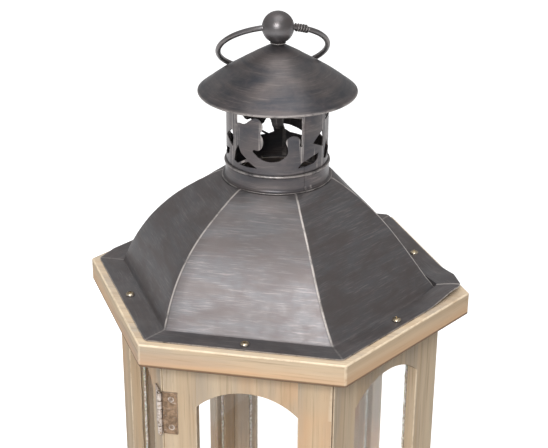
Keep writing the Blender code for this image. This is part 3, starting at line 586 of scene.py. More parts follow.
def makeSmallMetal(name, dark, light, metallic, gloss, wornAndLit):  # hinges, screws and the tray
    made, tree, shader = newMaterial(name, Metallic=metallic)
    place = objectPlace(tree)
    mark = attribute(tree, "wear")
    # here: stains of the metal itself
    stainAndShade = speckle(tree, place, 420.0, detail=5, roughness=0.65)
    colour = blended(tree, between(tree, stainAndShade, 0.36, 0.66), dark, light)
    scratch = speckle(tree, stretched(tree, place, (260, 2400, 900)), detail=2)
    thin = doMath(tree, "MULTIPLY", between(tree, scratch, 0.62, 0.74), 0.35)
    colour = blended(tree, thin, colour, metalTones["rubbedAndLit"])
    # rounded edges lighter: partly abrasion, partly a painted highlight
    rubbedAndLit = useGroup(tree, edgeWear, {"Vector": stretched(tree, place, (4, 4, 4)), "Mark": mark, "Amount": wornAndLit})
    colour = blended(tree, rubbedAndLit["Mask"], colour, metalTones["rubbedAndLit"])
    rough = ranged(tree, stainAndShade, gloss - 0.08, gloss + 0.14, 0.3, 0.7)
    wire(tree, shader, {"Base Color": colour, "Roughness": rough})
    roughen(tree, shader, doMath(tree, "ADD", stainAndShade, thin), 0.2, 0.0002)
    return made


def makeGlass():
    made, tree, shader = newMaterial(
        "clearGlass", Metallic=0.0, Transmission_Weight=1.0, IOR=1.46, Base_Color=(0.97, 0.99, 0.98, 1))
    place = objectPlace(tree)
    smear = speckle(tree, stretched(tree, place, (30, 30, 12)), detail=5, roughness=0.6)
    rough = ranged(tree, smear, 0.01, 0.12, 0.45, 0.8)
    tree.links.new(rough, shader.inputs["Roughness"])
    shader.inputs["Alpha"].default_value = 0.05
    return made


def makeSealant():
    made, tree, shader = newMaterial("sealant", Metallic=0.0, Subsurface_Weight=0.3, Subsurface_Scale=0.001)
    place = objectPlace(tree)
    lumps = speckle(tree, place, 500.0, detail=4, roughness=0.7)
    colour = blended(tree, between(tree, lumps, 0.4, 0.62), tone(196, 186, 168), tone(250, 248, 240))
    rough = ranged(tree, lumps, 0.22, 0.5)
    wire(tree, shader, {"Base Color": colour, "Roughness": rough})
    roughen(tree, shader, lumps, 0.6, 0.0006)
    return made


def makePlastic():
    made, tree, shader = newMaterial("magnetPlastic", Metallic=0.0)
    place = objectPlace(tree)
    fine = speckle(tree, place, 900.0, detail=3)
    colour = blended(tree, fine, tone(52, 50, 50), tone(74, 72, 72))
    rough = ranged(tree, fine, 0.45, 0.65)
    wire(tree, shader, {"Base Color": colour, "Roughness": rough})
    roughen(tree, shader, fine, 0.15, 0.0002)
    return made


roofShape = {
    "sheet": 0.0008, "brimWidth": 0.0175, "fold": 0.0012, "cornerRound": 0.0024, "sideCuts": 11, "bellSteps": 26,
    "lowHandle": (0.26, 0.45), "highHandle": (0.49, 0.74), "rounding": 0.016, "shoulderWidth": 0.004,
    "ledge": 0.003, "dentSize": 0.045, "dentDepth": 0.0011, "cornerLift": 0.0048, "liftReach": 0.036,
    "sway": 0.0038, "rearReach": 0.0028,
}
ventLow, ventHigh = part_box("vent")
ventRadius = ventHigh.x
roofLow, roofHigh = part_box("roof")
brimTop = roofLow.z + roofShape["sheet"]
shoulderRadius = ventRadius + roofShape["shoulderWidth"]
topBoardLow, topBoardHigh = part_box("top_board")
frameWood = makeWood("frameWood", greyShare=0.75)
boardWood = makeWood("boardWood", greyShare=0.85, warmLow=topBoardLow.z, warmHigh=topBoardHigh.z - 0.003)
roofMetal = makeSheetMetal("roofMetal", "Hexagon", streaks=0.3, ridged=True, gloss=0.46)
ventMetal = makeSheetMetal("ventMetal", "Round", streaks=0.2, gloss=0.37, wornAndLit=0.35, dark="ink", light="ash")
handleMetal = makeSheetMetal("handleMetal", "Round", streaks=0.05, gloss=0.38, wornAndLit=0.2)
hingeMetal = makeSmallMetal("hingeMetal", tone(96, 78, 62), tone(142, 118, 96), 0.85, 0.4, 0.6)
screwMetal = makeSmallMetal("screwMetal", tone(150, 132, 104), tone(206, 192, 164), 1.0, 0.28, 0.5)
trayMetal = makeSmallMetal("trayMetal", tone(150, 150, 152), tone(190, 190, 190), 0.95, 0.36, 0.4)
clearGlass = makeGlass()
sealant = makeSealant()
magnetPlastic = makePlastic()
print("materials made")


# wooden boards

boardShape = {"ease": 0.0012, "segments": 3, "heatHole": 0.052}


def makeBoard(node, shift, hole=None):
    low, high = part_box(node)
    clearPicks()
    bpy.ops.mesh.primitive_cylinder_add(vertices=6, radius=high.x, depth=high.z - low.z,
                                        location=(0, 0, (low.z + high.z) / 2), rotation=(0, 0, pi / 6))
    piece = started(node + "_wood")
    if hole:
        cut(piece, rod("hole", hole, (0, 0, low.z - 0.01), (0, 0, high.z + 0.01), 96))
    applied(piece, "BEVEL", width=boardShape["ease"], segments=boardShape["segments"], limit_method="ANGLE")
    faceGrain(piece, shift)
    markWearAndHighlight(piece, radius=0.002)
    finish(piece, boardWood, "lantern", [node], weighted=True)


def faceGrain(piece, shift):  # fibres along each side's own edge, and along X on top and below
    mesh = piece.data
    places = [0.0] * (3 * len(mesh.loops))
    for face in mesh.polygons:
        flat = Vector((face.normal.x, face.normal.y, 0))
        along = Vector((1, 0, 0))
        if flat.length > 0.5 and hypot(face.center.x, face.center.y) > 0.1:
            side = round((degreesOf(flat) - 30) / 60) * 60 + 30
            along = Vector((-sin(radians(side)), cos(radians(side)), 0))
        out = along.cross(Vector((0, 0, 1)))
        for k in face.loop_indices:
            place = mesh.vertices[mesh.loops[k].vertex_index].co + Vector(shift)
            places[3 * k:3 * k + 3] = [place.dot(out), place.z, place.dot(along)]
    layer = mesh.attributes.new("grain", "FLOAT_VECTOR", "CORNER")
    layer.data.foreach_set("vector", places)


def degreesOf(vector):
    return atan2(vector.y, vector.x) * 180 / pi


makeBoard("top_board", (0.31, 0.12, 0.05), boardShape["heatHole"])
makeBoard("base_board", (0.77, 0.45, 0.21))
print("boards made")


# framed sides, each worked on in the door's place and then turned back

sideShape = {"softEdge": 0.0008, "segments": 3, "paneGap": 0.0004, "jointGap": 0.0003}


def makeSide(side, turnDegrees):
    turn = Matrix.Rotation(radians(turnDegrees), 4, "Z")
    body = "door" if side == "door" else "lantern"
    parts = {}
    for part in ("left_stile", "right_stile", "top_rail", "bottom_rail", "glass"):
        parts[part] = placed(cadCopy(f"{side}_{part}", f"{side}_{part}_fine"), turn.inverted())
    paneLow, paneHigh = spread(parts["glass"])
    railLow, railHigh = spread(parts["top_rail"])
    footLow, footHigh = spread(parts["bottom_rail"])
    crown = min(v.co.z for v in parts["top_rail"].data.vertices if abs(v.co.x) < 0.001)
    for part in ("glass", "top_rail", "bottom_rail"):
        bpy.data.objects.remove(parts.pop(part), do_unlink=True)
    parts["top_rail"] = makeRail(f"{side}_top_rail_fine", railLow, railHigh, paneLow, paneHigh, crown)
    parts["bottom_rail"] = makeRail(f"{side}_bottom_rail_fine", footLow, footHigh, paneLow, paneHigh)
    for count, (part, piece) in enumerate(parts.items()):
        upright = part.endswith("stile")
        if upright:
            for height in (railLow.z, footHigh.z):
                openEdit(piece)
                bpy.ops.mesh.select_all(action="SELECT")
                bpy.ops.mesh.bisect(plane_co=(0, 0, height), plane_no=(0, 0, 1))
                closeEdit()
        softenSide(piece, upright, railHigh.x, footHigh.z, railLow.z)
        shift = (0.37 * count + 0.013 * turnDegrees, 0.21 * count, 0.173 * count + 0.0071 * turnDegrees)
        markGrain(piece, (1, 0, 0), (0, 0, 1), shift)
        placed(piece, turn)
        finish(piece, frameWood, body, [f"{side}_{part}"], weighted=True)
    return paneLow, paneHigh


def makeRail(name, low, high, paneLow, paneHigh, crown=None):  # it fills the joint gap up to the stiles
    joint, gap = Vector((sideShape["jointGap"], 0, 0)), sideShape["paneGap"]
    piece = block(name, low - joint, high + joint)
    if crown:
        span, rise = high.x + joint.x, crown - low.z
        radius = (span ** 2 + rise ** 2) / (2 * rise)
        centre = crown - radius
        cut(piece, rod("arch", radius, (0, low.y - 0.005, centre), (0, high.y + 0.005, centre), 192))
    reach = 0.01  # how far the cutter runs past the rail
    return cut(piece, block("rebate", (paneLow.x - reach, paneLow.y - gap, max(paneLow.z - gap, low.z - reach)),
                            (paneHigh.x + reach, high.y + reach, min(paneHigh.z + gap, high.z + reach))))


def softenSide(piece, upright, railEnd, openingFoot, openingHead):
    def outer(edge):
        if len(edge.link_faces) != 2 or edge.calc_face_angle(0) < radians(30):
            return False
        a, b = edge.verts[0].co, edge.verts[1].co
        if upright:
            inner = abs(abs(a.x) - railEnd) < 0.0006 and abs(abs(b.x) - railEnd) < 0.0006
            middle = (a.z + b.z) / 2
            return not inner or openingFoot < middle < openingHead
        return abs(a.x) < railEnd - 0.0001 or abs(b.x) < railEnd - 0.0001

    openEdit(piece, "EDGE")
    selectWhere(piece, "edges", outer)
    bpy.ops.mesh.bevel(offset=sideShape["softEdge"], segments=sideShape["segments"], affect="EDGES",
                       clamp_overlap=True)
    mergeAll()
    closeEdit()


paneBoxes = {side: makeSide(side, turnDegrees) for side, turnDegrees in sideTurns.items()}
print("framed sides made")


# glass and its bead of sealant

beadShape = {"radius": 0.0011, "step": 0.004, "wobble": 0.00028, "inset": 0.0012}


def makeBead(side, turnDegrees, paneLow, paneHigh):
    inset, wobble = beadShape["inset"], beadShape["wobble"]
    left, right = paneLow.x + inset, paneHigh.x - inset
    foot, head = paneLow.z + inset, paneHigh.z - inset
    corners = [(left, foot), (right, foot), (right, head), (left, head)]
    points = []
    for (fromX, fromZ), (toX, toZ) in zip(corners, corners[1:] + corners[:1]):
        count = round(hypot(toX - fromX, toZ - fromZ) / beadShape["step"])
        for k in range(count):
            share = k / count
            lump = wobble * sin(len(points) * 1.7 + turnDegrees) * cos(len(points) * 0.61)
            points.append((fromX + (toX - fromX) * share + lump, paneHigh.y + beadShape["radius"] * 0.7,
                           fromZ + (toZ - fromZ) * share + lump))
    widths = [0.85 + 0.22 * sin(k * 2.3) * cos(k * 0.37) for k in range(len(points))]
    piece = wireCurve(f"{side}_sealant", beadShape["radius"], points, widths, closed=True)
    placed(piece, Matrix.Rotation(radians(turnDegrees), 4, "Z"))
    finish(piece, sealant, "door" if side == "door" else "lantern", angle=60)


for side, turnDegrees in sideTurns.items():
    nodes[f"{side}_glass"].data.materials.clear()
    nodes[f"{side}_glass"].data.materials.append(clearGlass)
    makeBead(side, turnDegrees, *paneBoxes[side])
print("glass and sealant made")


# roof

def roofOutline():  # corner radius and height, from the brim's edge up to the vent
    foot = roofHigh.x - roofShape["brimWidth"]
    run, rise = foot - shoulderRadius, roofHigh.z - brimTop
    lowHandle = (foot - run * roofShape["lowHandle"][0], brimTop + rise * roofShape["lowHandle"][1])
    highHandle = (foot - run * roofShape["highHandle"][0], brimTop + rise * roofShape["highHandle"][1])
    bell = curved((foot, brimTop), lowHandle, highHandle, (shoulderRadius, roofHigh.z), roofShape["bellSteps"])
    fold = curved((foot + roofShape["fold"], brimTop), (foot, brimTop), (foot, brimTop), bell[1], 4)
    brim = [(roofHigh.x - step, brimTop) for step in (0.0, 0.0008, 0.005, 0.011)]
    return brim + fold + bell[2:] + [(ventRadius - roofShape["ledge"], roofHigh.z)]


def bendBrim(piece):  # the right corner stands off the board, and the rear edges reach further out
    selectWhere(piece, "verts", lambda v: v.co.z > brimTop + 0.00001)
    bpy.ops.mesh.hide(unselected=False)
    lift, reach = roofShape["cornerLift"], roofShape["rearReach"]
    outwards = (0, reach, reach * 0.5)
    for test, move, size in (
            (lambda v: v.co.x > roofHigh.x - 0.004, (0, 0, lift), roofShape["liftReach"]),
            (lambda v: abs(v.co.x) < roofHigh.x * 0.6 and v.co.y > roofHigh.y - 0.001, outwards, 0.012),
            (lambda v: 0.004 < v.co.y < roofHigh.y - 0.001 and hypot(v.co.x, v.co.y) > roofHigh.y - 0.0005
             and outerShare(v.co) > 0.995, outwards, 0.012)):
        selectWhere(piece, "verts", lambda v: not v.hide and test(v))
        bpy.ops.transform.translate(value=move, use_proportional_edit=True,
                                    proportional_edit_falloff="SMOOTH", proportional_size=size)
    bpy.ops.mesh.reveal(select=False)


def outerShare(place):  # 1 on the brim's outer edge
    reach = max(abs(place.x * cos(radians(turn)) + place.y * sin(radians(turn))) for turn in (30, 90, 150))
    return reach / roofHigh.y


def swayAt(height):  # the hand-bent bell bulges a little more on its left
    share = (height - brimTop) / (roofHigh.z - brimTop)
    return -4 * roofShape["sway"] * share * (1 - share)


def makeRoof():
    outline = roofOutline()
    clearPicks()
    bpy.ops.mesh.primitive_circle_add(
        vertices=6, radius=outline[0][0], location=(0, 0, brimTop), rotation=(0, 0, radians(30)))
    piece = started("roof_shell")
    openEdit(piece)
    bpy.ops.mesh.select_all(action="SELECT")
    bpy.ops.mesh.bevel(offset=roofShape["cornerRound"], segments=3, affect="VERTICES")
    bpy.ops.mesh.select_mode(type="EDGE")
    selectWhere(piece, "edges", lambda edge: edge.calc_length() > 0.02)
    bpy.ops.mesh.subdivide(number_cuts=roofShape["sideCuts"])
    bpy.ops.mesh.select_mode(type="VERT")
    bpy.ops.mesh.select_all(action="SELECT")
    corner, roundness = outline[0][0], 0.0
    for (_, fromZ), (toRadius, toZ) in zip(outline, outline[1:]):
        sway = swayAt(toZ)
        bpy.ops.mesh.extrude_region_move(TRANSFORM_OT_translate={"value": (sway - swayAt(fromZ), 0, toZ - fromZ)})
        share = (shoulderRadius + roofShape["rounding"] - toRadius) / roofShape["rounding"]
        share = min(max(share, 0.0), 1.0)
        if share > roundness:
            bpy.ops.transform.tosphere(value=1 - (1 - share) / (1 - roundness))
            roundness = share if share < 1 else 0.999999
        shape = bmesh.from_edit_mesh(piece.data)
        reached = max(hypot(v.co.x - sway, v.co.y) for v in shape.verts if v.select)
        ratio = toRadius / reached * (1 if share else reached / corner)
        bpy.ops.transform.resize(value=(ratio, ratio, 1), center_override=(sway, 0, toZ))
        corner = toRadius
    bendBrim(piece)
    bpy.ops.mesh.select_all(action="SELECT")
    bpy.ops.mesh.normals_make_consistent(inside=False)
    closeEdit()
    group = piece.vertex_groups.new(name="bell")
    middle = [v.index for v in piece.data.vertices if brimTop + 0.006 < v.co.z < roofHigh.z - 0.006]
    group.add(middle, 1.0, "REPLACE")
    dented(piece, roofShape["dentSize"], roofShape["dentDepth"], "bell")
    piece.vertex_groups.clear()
    applied(piece, "SOLIDIFY", thickness=roofShape["sheet"], offset=-1, use_even_offset=True)
    return finish(piece, roofMetal, "lantern", ["roof"], angle=32)


makeRoof()
print("roof made")


# vent tube with its scroll pattern, and its collar

ventShape = {"sheet": 0.0008, "segments": 144, "seamFrom": 42.0, "seamTo": 50.0, "lap": 0.00024}
collarShape = {"gap": 0.0002, "sheet": 0.0006, "height": 0.012, "bead": 0.0009, "foot": 0.0024}
patternShape = {
    "repeats": 3, "skirt": 0.0033, "head": 0.0030,
    "window": [  # degrees round from the middle of its repeat, share of the pierced height
        (-42, 0.70), (-40, 0.90), (-20, 0.99), (0, 1.0), (20, 1.0), (38, 0.95), (41, 0.78),
        (40.5, 0.50), (38, 0.38), (36.5, 0.50), (31, 0.57), (24, 0.56), (20.5, 0.49), (22.5, 0.39),
        (22.5, 0.29), (17, 0.20), (8, 0.15), (-5, 0.17), (-14, 0.25), (-17, 0.31), (-9.5, 0.33),
        (-5, 0.43), (-5.5, 0.54), (-8, 0.61), (-5.5, 0.70), (-7, 0.80), (-12, 0.86), (-20, 0.81),
        (-29, 0.72), (-36, 0.715),
    ],
    "leaf": [(-38, 0.35), (-33, 0.22), (-25, 0.145), (-31, 0.09), (-39, 0.02), (-45, 0.05), (-43, 0.20)],
    "toe": [(-35, 0.01), (-29, 0.07), (-22.5, 0.105), (-17.5, 0.065), (-11.5, 0.015), (-24, 0.005)],
    "seed": [(34, 0.02), (39, 0.10), (45.5, 0.14), (56, 0.185), (64, 0.20), (62, 0.10), (56, 0.05), (44, 0.03)],
    "tail": [(54, 0.39), (60, 0.465), (71, 0.56), (73.5, 0.42), (72, 0.27), (63, 0.33)],
}
capLow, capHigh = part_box("vent_cap")


def patternTool(label, low, high, turn):  # one opening as a smooth outline pushed through the near wall
    outline = patternShape[label]
    middle = (min(a for a, _ in outline) + max(a for a, _ in outline)) / 2
    line = bpy.data.curves.new(label, "CURVE")
    line.dimensions = "2D"
    line.fill_mode = "BOTH"
    line.extrude = ventRadius * 0.25
    line.resolution_u = 6
    spline = line.splines.new("BEZIER")
    spline.bezier_points.add(len(outline) - 1)
    for point, (angle, share) in zip(spline.bezier_points, outline):
        point.co = (ventRadius * sin(radians(angle - middle)), low + (high - low) * share, 0)
        point.handle_left_type = point.handle_right_type = "AUTO" if label == "window" else "VECTOR"
    spline.use_cyclic_u = True
    tool = curveMesh(label, line)
    stand = Matrix.Rotation(turn + radians(middle), 4, "Z") @ Matrix.Translation((0, -ventRadius, 0))
    placed(tool, stand @ Matrix.Rotation(pi / 2, 4, "X"))
    openEdit(tool)
    mergeAll(0.000001)
    bpy.ops.mesh.normals_make_consistent(inside=False)
    closeEdit()
    return tool


def raisedSeam(piece, radius, lap):  # the outer end of the rolled strip, one sheet over the other
    openEdit(piece, "FACE")

    def inSeam(face):
        middle = face.calc_center_median()
        turn = degreesOf(middle) + 90
        outside = face.normal.dot(Vector((middle.x, middle.y, 0)).normalized()) > 0.3
        return outside and ventShape["seamFrom"] < turn < ventShape["seamTo"] and middle.xy.length > radius

    selectWhere(piece, "faces", inSeam)
    bpy.ops.mesh.extrude_region_shrink_fatten(TRANSFORM_OT_shrink_fatten={"value": lap})
    closeEdit()


def makeVent():
    clearPicks()
    depth = ventHigh.z - ventLow.z
    bpy.ops.mesh.primitive_cylinder_add(vertices=ventShape["segments"], radius=ventRadius, depth=depth,
                                        end_fill_type="NOTHING", location=(0, 0, ventLow.z + depth / 2))
    piece = started("vent_tube")
    applied(piece, "SOLIDIFY", thickness=ventShape["sheet"], offset=-1, use_even_offset=True)
    raisedSeam(piece, ventRadius * 0.99, ventShape["lap"])
    low = ventLow.z + collarShape["height"] + patternShape["skirt"]
    high = capLow.z + 0.0026 - patternShape["head"]
    tools = []
    for repeat in range(patternShape["repeats"]):
        turn = 2 * pi * repeat / patternShape["repeats"]
        tools += [patternTool(label, low, high, turn) for label in ("window", "leaf", "toe", "seed", "tail")]
    cut(piece, joined(*tools))
    return finish(piece, ventMetal, "lantern", ["vent"], angle=25)


def makeCollar():
    inner = ventRadius + collarShape["gap"]
    outer = inner + collarShape["sheet"]
    foot, head = ventLow.z, ventLow.z + collarShape["height"]
    bead, flare, sheet = collarShape["bead"], collarShape["foot"], collarShape["sheet"]
    outline = [(inner, foot), (outer + flare - sheet / 2, foot)]
    outline += arc((outer + flare - sheet / 2, foot + sheet / 2), sheet / 2, -60, 90, 4)
    outline += curved((outer + flare * 0.6, foot + sheet), (outer + flare * 0.2, foot + sheet),
                      (outer, foot + sheet + flare * 0.3), (outer, foot + sheet + flare), 6)
    outline += [(outer, head - bead * 2.4)]
    outline += arc((outer - bead * 0.15, head - bead), bead, -70, 70, 8)
    outline += [(outer, head - 0.0001), (inner, head), (inner, foot)]
    piece = turned("collar_band", outline, 120)
    raisedSeam(piece, outer - 0.0002, ventShape["lap"])
    return finish(piece, ventMetal, "lantern", ["vent_collar"], angle=40)


makeVent()
makeCollar()
print("vent and collar made")


# cap, strap, finial and nut

capShape = {
    "sheet": 0.0008, "lip": 0.0026, "bead": 0.0009, "lowHandle": (0.135, 0.231), "highHandle": (0.62, 0.692),
    "hole": 0.0029, "dentSize": 0.03, "dentDepth": 0.0007,
}
swingAxis, swingPlace = Vector(joints["ring_swing"]["axis"]).normalized(), Vector(joints["ring_swing"]["pos_m"])
finialShape = {"ball": 0.0105, "neck": 0.0046, "stud": 0.0025, "bore": 0.00302, "ballSteps": 28}


def makeCap():
    radius, sheet, bead = capHigh.x, capShape["sheet"], capShape["bead"]
    rim, top = capLow.z + capShape["lip"], capHigh.z
    run, rise = radius - capShape["hole"], top - rim
    lowHandle = (radius - run * capShape["lowHandle"][0], rim + rise * capShape["lowHandle"][1])
    highHandle = (radius - run * capShape["highHandle"][0], rim + rise * capShape["highHandle"][1])
    outer = curved((radius, rim), lowHandle, highHandle, (capShape["hole"], top), 40)
    inner = [point for point in shifted(outer, -sheet) if point[0] > capShape["hole"]]
    inner.append((capShape["hole"], inner[-1][1]))
    roll = arc((radius - bead, rim + bead * 0.2), bead, 20, -200, 12)
    outline = inner[:1:-1] + roll[::-1] + outer[2:] + [inner[-1]]
    piece = turned("cap_cone", outline, 128)
    group = piece.vertex_groups.new(name="cone")
    free = [v.index for v in piece.data.vertices if rim + 0.003 < v.co.z < top - 0.008]
    group.add(free, 1.0, "REPLACE")
    dented(piece, capShape["dentSize"], capShape["dentDepth"], "cone", "Z")
    piece.vertex_groups.clear()
    return finish(piece, ventMetal, "lantern", ["vent_cap"], angle=40)


def makeFinial():
    low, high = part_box("finial")
    ball, neck, stud = finialShape["ball"], finialShape["neck"], finialShape["stud"]
    centre = high.z - ball
    seat = capHigh.z + 0.0003
    start = -70
    outline = [(0, low.z), (stud * 0.8, low.z), (stud, low.z + stud * 0.3), (stud, seat), (neck * 1.12, seat)]
    outline += [(neck * 1.12, seat + 0.0004), (neck * 0.86, seat + 0.0008)]
    outline += [point for point in arc((0, centre), ball, start, 90, finialShape["ballSteps"])
                if point[0] > neck * 0.9 or point[1] > centre][:-1]
    outline.append((0, high.z))
    piece = turned("finial_ball", outline, 72)
    reach = swingAxis * ball * 1.2
    cut(piece, rod("bore", finialShape["bore"], swingPlace - reach, swingPlace + reach, 40))
    return finish(piece, handleMetal, "lantern", ["finial"], angle=35)


def makeNut():
    low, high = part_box("finial_nut")
    radius = high.x
    middle = low.z + (high.z - low.z) * 0.5
    clearPicks()
    bpy.ops.mesh.primitive_cylinder_add(vertices=6, radius=radius, depth=high.z - middle,
                                        location=(0, 0, (high.z + middle) / 2))
    piece = started("acorn_nut")
    applied(piece, "BEVEL", width=0.0004, segments=2, limit_method="ANGLE")
    dome = curved((0.0001, low.z), (radius * 0.7, low.z), (radius * 0.86, low.z + 0.0018),
                  (radius * 0.86, middle + 0.001), 10)
    cut(piece, turned("dome", [(0, low.z)] + dome + [(0, middle + 0.001)], 40), "UNION")
    cut(piece, rod("bore", finialShape["stud"] + 0.0003, (0, 0, high.z - 0.0062), (0, 0, high.z + 0.001)))
    return finish(piece, handleMetal, "lantern", ["finial_nut"], angle=30)


def softened(node, name, material, body, width, segments=2, angle=30):
    piece = cadCopy(node, name)
    applied(piece, "BEVEL", width=width, segments=segments, limit_method="ANGLE", angle_limit=radians(angle))
    return finish(piece, material, body, [node], weighted=True)


makeCap()
makeFinial()
makeNut()
softened("vent_strap", "strap_bar", ventMetal, "lantern", 0.0003)
print("cap and finial made")


# ring handle and the wire wound over its joint

ringShape = {"wire": 0.00185, "segments": 160, "around": 20}
bindingShape = {"wire": 0.00052, "fromDegrees": 17.5, "toDegrees": 32.5, "turns": 5, "pointsPerTurn": 14}


def makeRing():
    corners = nodes["ring_handle"].data.vertices
    centre = sum((v.co for v in corners), Vector()) / len(corners)
    hang = (centre - swingPlace).normalized()
    radius = max((v.co - centre).dot(swingAxis) for v in corners) - ringShape["wire"]
    lie = Matrix((swingAxis, hang, swingAxis.cross(hang))).transposed().to_4x4()
    place = Matrix.Translation(centre) @ lie
    clearPicks()
    bpy.ops.mesh.primitive_torus_add(major_segments=ringShape["segments"], minor_segments=ringShape["around"],
                                     major_radius=radius, minor_radius=ringShape["wire"])
    piece = started("ring_wire")
    dented(piece, 0.012, 0.0002)
    placed(piece, place)
    finish(piece, handleMetal, "ring", ["ring_handle"], angle=60)
    makeBinding(place, radius)


def makeBinding(place, radius):  # a thin wire wound round the ring beside the ball
    shape = bindingShape
    reach = ringShape["wire"] + shape["wire"] * 0.75
    count = shape["turns"] * shape["pointsPerTurn"]
    points = []
    for k in range(count + 1):
        share = k / count
        turn = radians(shape["fromDegrees"] + (shape["toDegrees"] - shape["fromDegrees"]) * share)
        roll = 2 * pi * shape["turns"] * share
        out = Vector((sin(turn), -cos(turn), 0))
        points.append(out * (radius + reach * cos(roll)) + Vector((0, 0, reach * sin(roll))))
    piece = placed(wireCurve("ring_binding", shape["wire"], points), place)
    finish(piece, handleMetal, "ring", angle=60)


makeRing()
print("ring handle made")


# screws

roofScrew = {"head": 0.0030, "height": 0.0018, "shank": 0.0014, "slotWidth": 0.0006, "slotDepth": 0.0008}
hingeScrew = {"head": 0.00195, "shank": 0.0009, "length": 0.006, "slotWidth": 0.00045, "slotDepth": 0.00035}


def domedScrew(name, low, high, shape):  # a round head with a cross recess, on the Z axis
    head, seat = shape["head"], high - shape["height"]
    shank = shape["shank"]
    outline = [(0, low), (shank * 0.3, low + 0.0006), (shank, low + 0.0022), (shank, seat)]
    outline += [(head * 0.96, seat), (head, seat + 0.0002)]
    outline += curved((head, seat + 0.0003), (head * 0.95, high - 0.0003), (head * 0.5, high), (0, high), 10)[1:]
    piece = turned(name, outline, 40)
    long, wide = head * 0.55, shape["slotWidth"] / 2
    for x, y in ((long, wide), (wide, long)):
        cut(piece, block("slot", (-x, -y, high - shape["slotDepth"]), (x, y, high + 0.001)))
    return piece


def makeRoofScrews():
    first = None
    for k in range(6):
        low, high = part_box(f"roof_screw_{k + 1}")
        if first is None:
            first = domedScrew("roof_screw_master", low.z, high.z, roofScrew)
        piece = copied(first, f"roof_screw_{k + 1}_fine")
        spot = Matrix.Translation(((low.x + high.x) / 2, (low.y + high.y) / 2, 0))
        placed(piece, spot @ Matrix.Rotation(radians(37 * k + 11), 4, "Z"))
        finish(piece, screwMetal, "lantern", [f"roof_screw_{k + 1}"])
    bpy.data.objects.remove(first, do_unlink=True)


def makeTrayScrew():
    low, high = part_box("tray_screw")
    shape = dict(roofScrew, head=high.x, height=0.0019)
    piece = domedScrew("tray_screw_fine", low.z, high.z, shape)
    finish(piece, screwMetal, "lantern", ["tray_screw"])


def countersunkScrew(name):  # its flat head at height 0, pointing down
    head, shank = hingeScrew["head"], hingeScrew["shank"]
    outline = [(0, -hingeScrew["length"]), (shank * 0.3, 0.0006 - hingeScrew["length"]),
               (shank, 0.002 - hingeScrew["length"]), (shank, shank - head), (head, -0.00012), (head * 0.96, 0)]
    outline += [(head * 0.5, 0.00006), (0, 0.00008)]
    piece = turned(name, outline, 36)
    wide, long = hingeScrew["slotWidth"] / 2, head * 0.7
    for x, y in ((long, wide), (wide, long)):
        cut(piece, block("slot", (-x, -y, -hingeScrew["slotDepth"]), (x, y, 0.001)))
    return piece


makeRoofScrews()
makeTrayScrew()
print("screws made")


# hinges

hingeShape = {"leafReach": 0.0108, "screwReach": 0.0067, "screwInset": 0.0052, "leaf": 0.001, "soften": 0.00016}


def makeHinges():
    hinge = joints["door_hinge"]
    corner = Vector((hinge["pos_m"][0], hinge["pos_m"][1], 0))
    master = countersunkScrew("hinge_screw_master")
    for which in ("upper", "lower"):
        for part, body, turnDegrees, hand in (("door_leaf", "door", 0, 1), ("frame_leaf", "lantern", -60, -1)):
            node = f"{which}_hinge_{part}"
            softened(node, node + "_fine", hingeMetal, body, hingeShape["soften"])
            low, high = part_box(node)
            turn = Matrix.Rotation(radians(turnDegrees), 4, "Z")
            local = [turn.inverted() @ (v.co - corner) for v in nodes[node].data.vertices]
            back = max(place.y for place in local if abs(place.x) > 0.006)
            reach = max(abs(place.x) for place in local) - hingeShape["leafReach"] + hingeShape["screwReach"]
            for k, height in enumerate((low.z + hingeShape["screwInset"], high.z - hingeShape["screwInset"])):
                screw = copied(master, f"{which}_hinge_{part}_screw_{k + 1}")
                spot = Matrix.Translation(corner) @ turn
                spot = spot @ Matrix.Translation((hand * reach, back - hingeShape["leaf"] - 0.00003, height))
                spin = Matrix.Rotation(radians(23 + 51 * k + 17 * hand), 4, "Z")
                placed(screw, spot @ Matrix.Rotation(pi / 2, 4, "X") @ spin)
                finish(screw, hingeMetal, body)
        softened(f"{which}_hinge_pin", f"{which}_hinge_pin_fine", hingeMetal, "lantern", 0.0001)
    bpy.data.objects.remove(master, do_unlink=True)


makeHinges()
print("hinges made")


# knob, catch and tray

knobShape = {"radius": 0.0066, "reach": 0.0150, "stem": 0.0024, "stemDepth": 0.007}
trayShape = {"radius": 0.043, "rim": 0.006, "sheet": 0.001, "hole": 0.0018, "roll": 0.0007}


def makeKnob():
    low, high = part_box("door_knob")
    radius, reach, stem = (knobShape[key] for key in ("radius", "reach", "stem"))
    depth = knobShape["stemDepth"]
    outline = [(0, -depth), (stem, -depth), (stem, 0.0004), (radius * 0.72, 0.0004)]
    outline += [(radius * 0.76, 0.0009), (radius * 0.70, 0.0018)]
    outline += curved((radius * 0.62, 0.0024), (radius * 0.34, 0.0046), (radius * 0.40, 0.0062),
                      (radius * 0.66, 0.0080), 8)
    outline += curved((radius * 0.80, 0.0086), (radius * 1.1, 0.0100), (radius * 1.04, 0.0142), (0, reach), 16)
    piece = turned("door_knob_fine", outline, 56)
    front = low.y + reach
    spot = Matrix.Translation(((low.x + high.x) / 2, front, (low.z + high.z) / 2))
    placed(piece, spot @ Matrix.Rotation(pi / 2, 4, "X"))
    return finish(piece, hingeMetal, "door", ["door_knob"], angle=40)


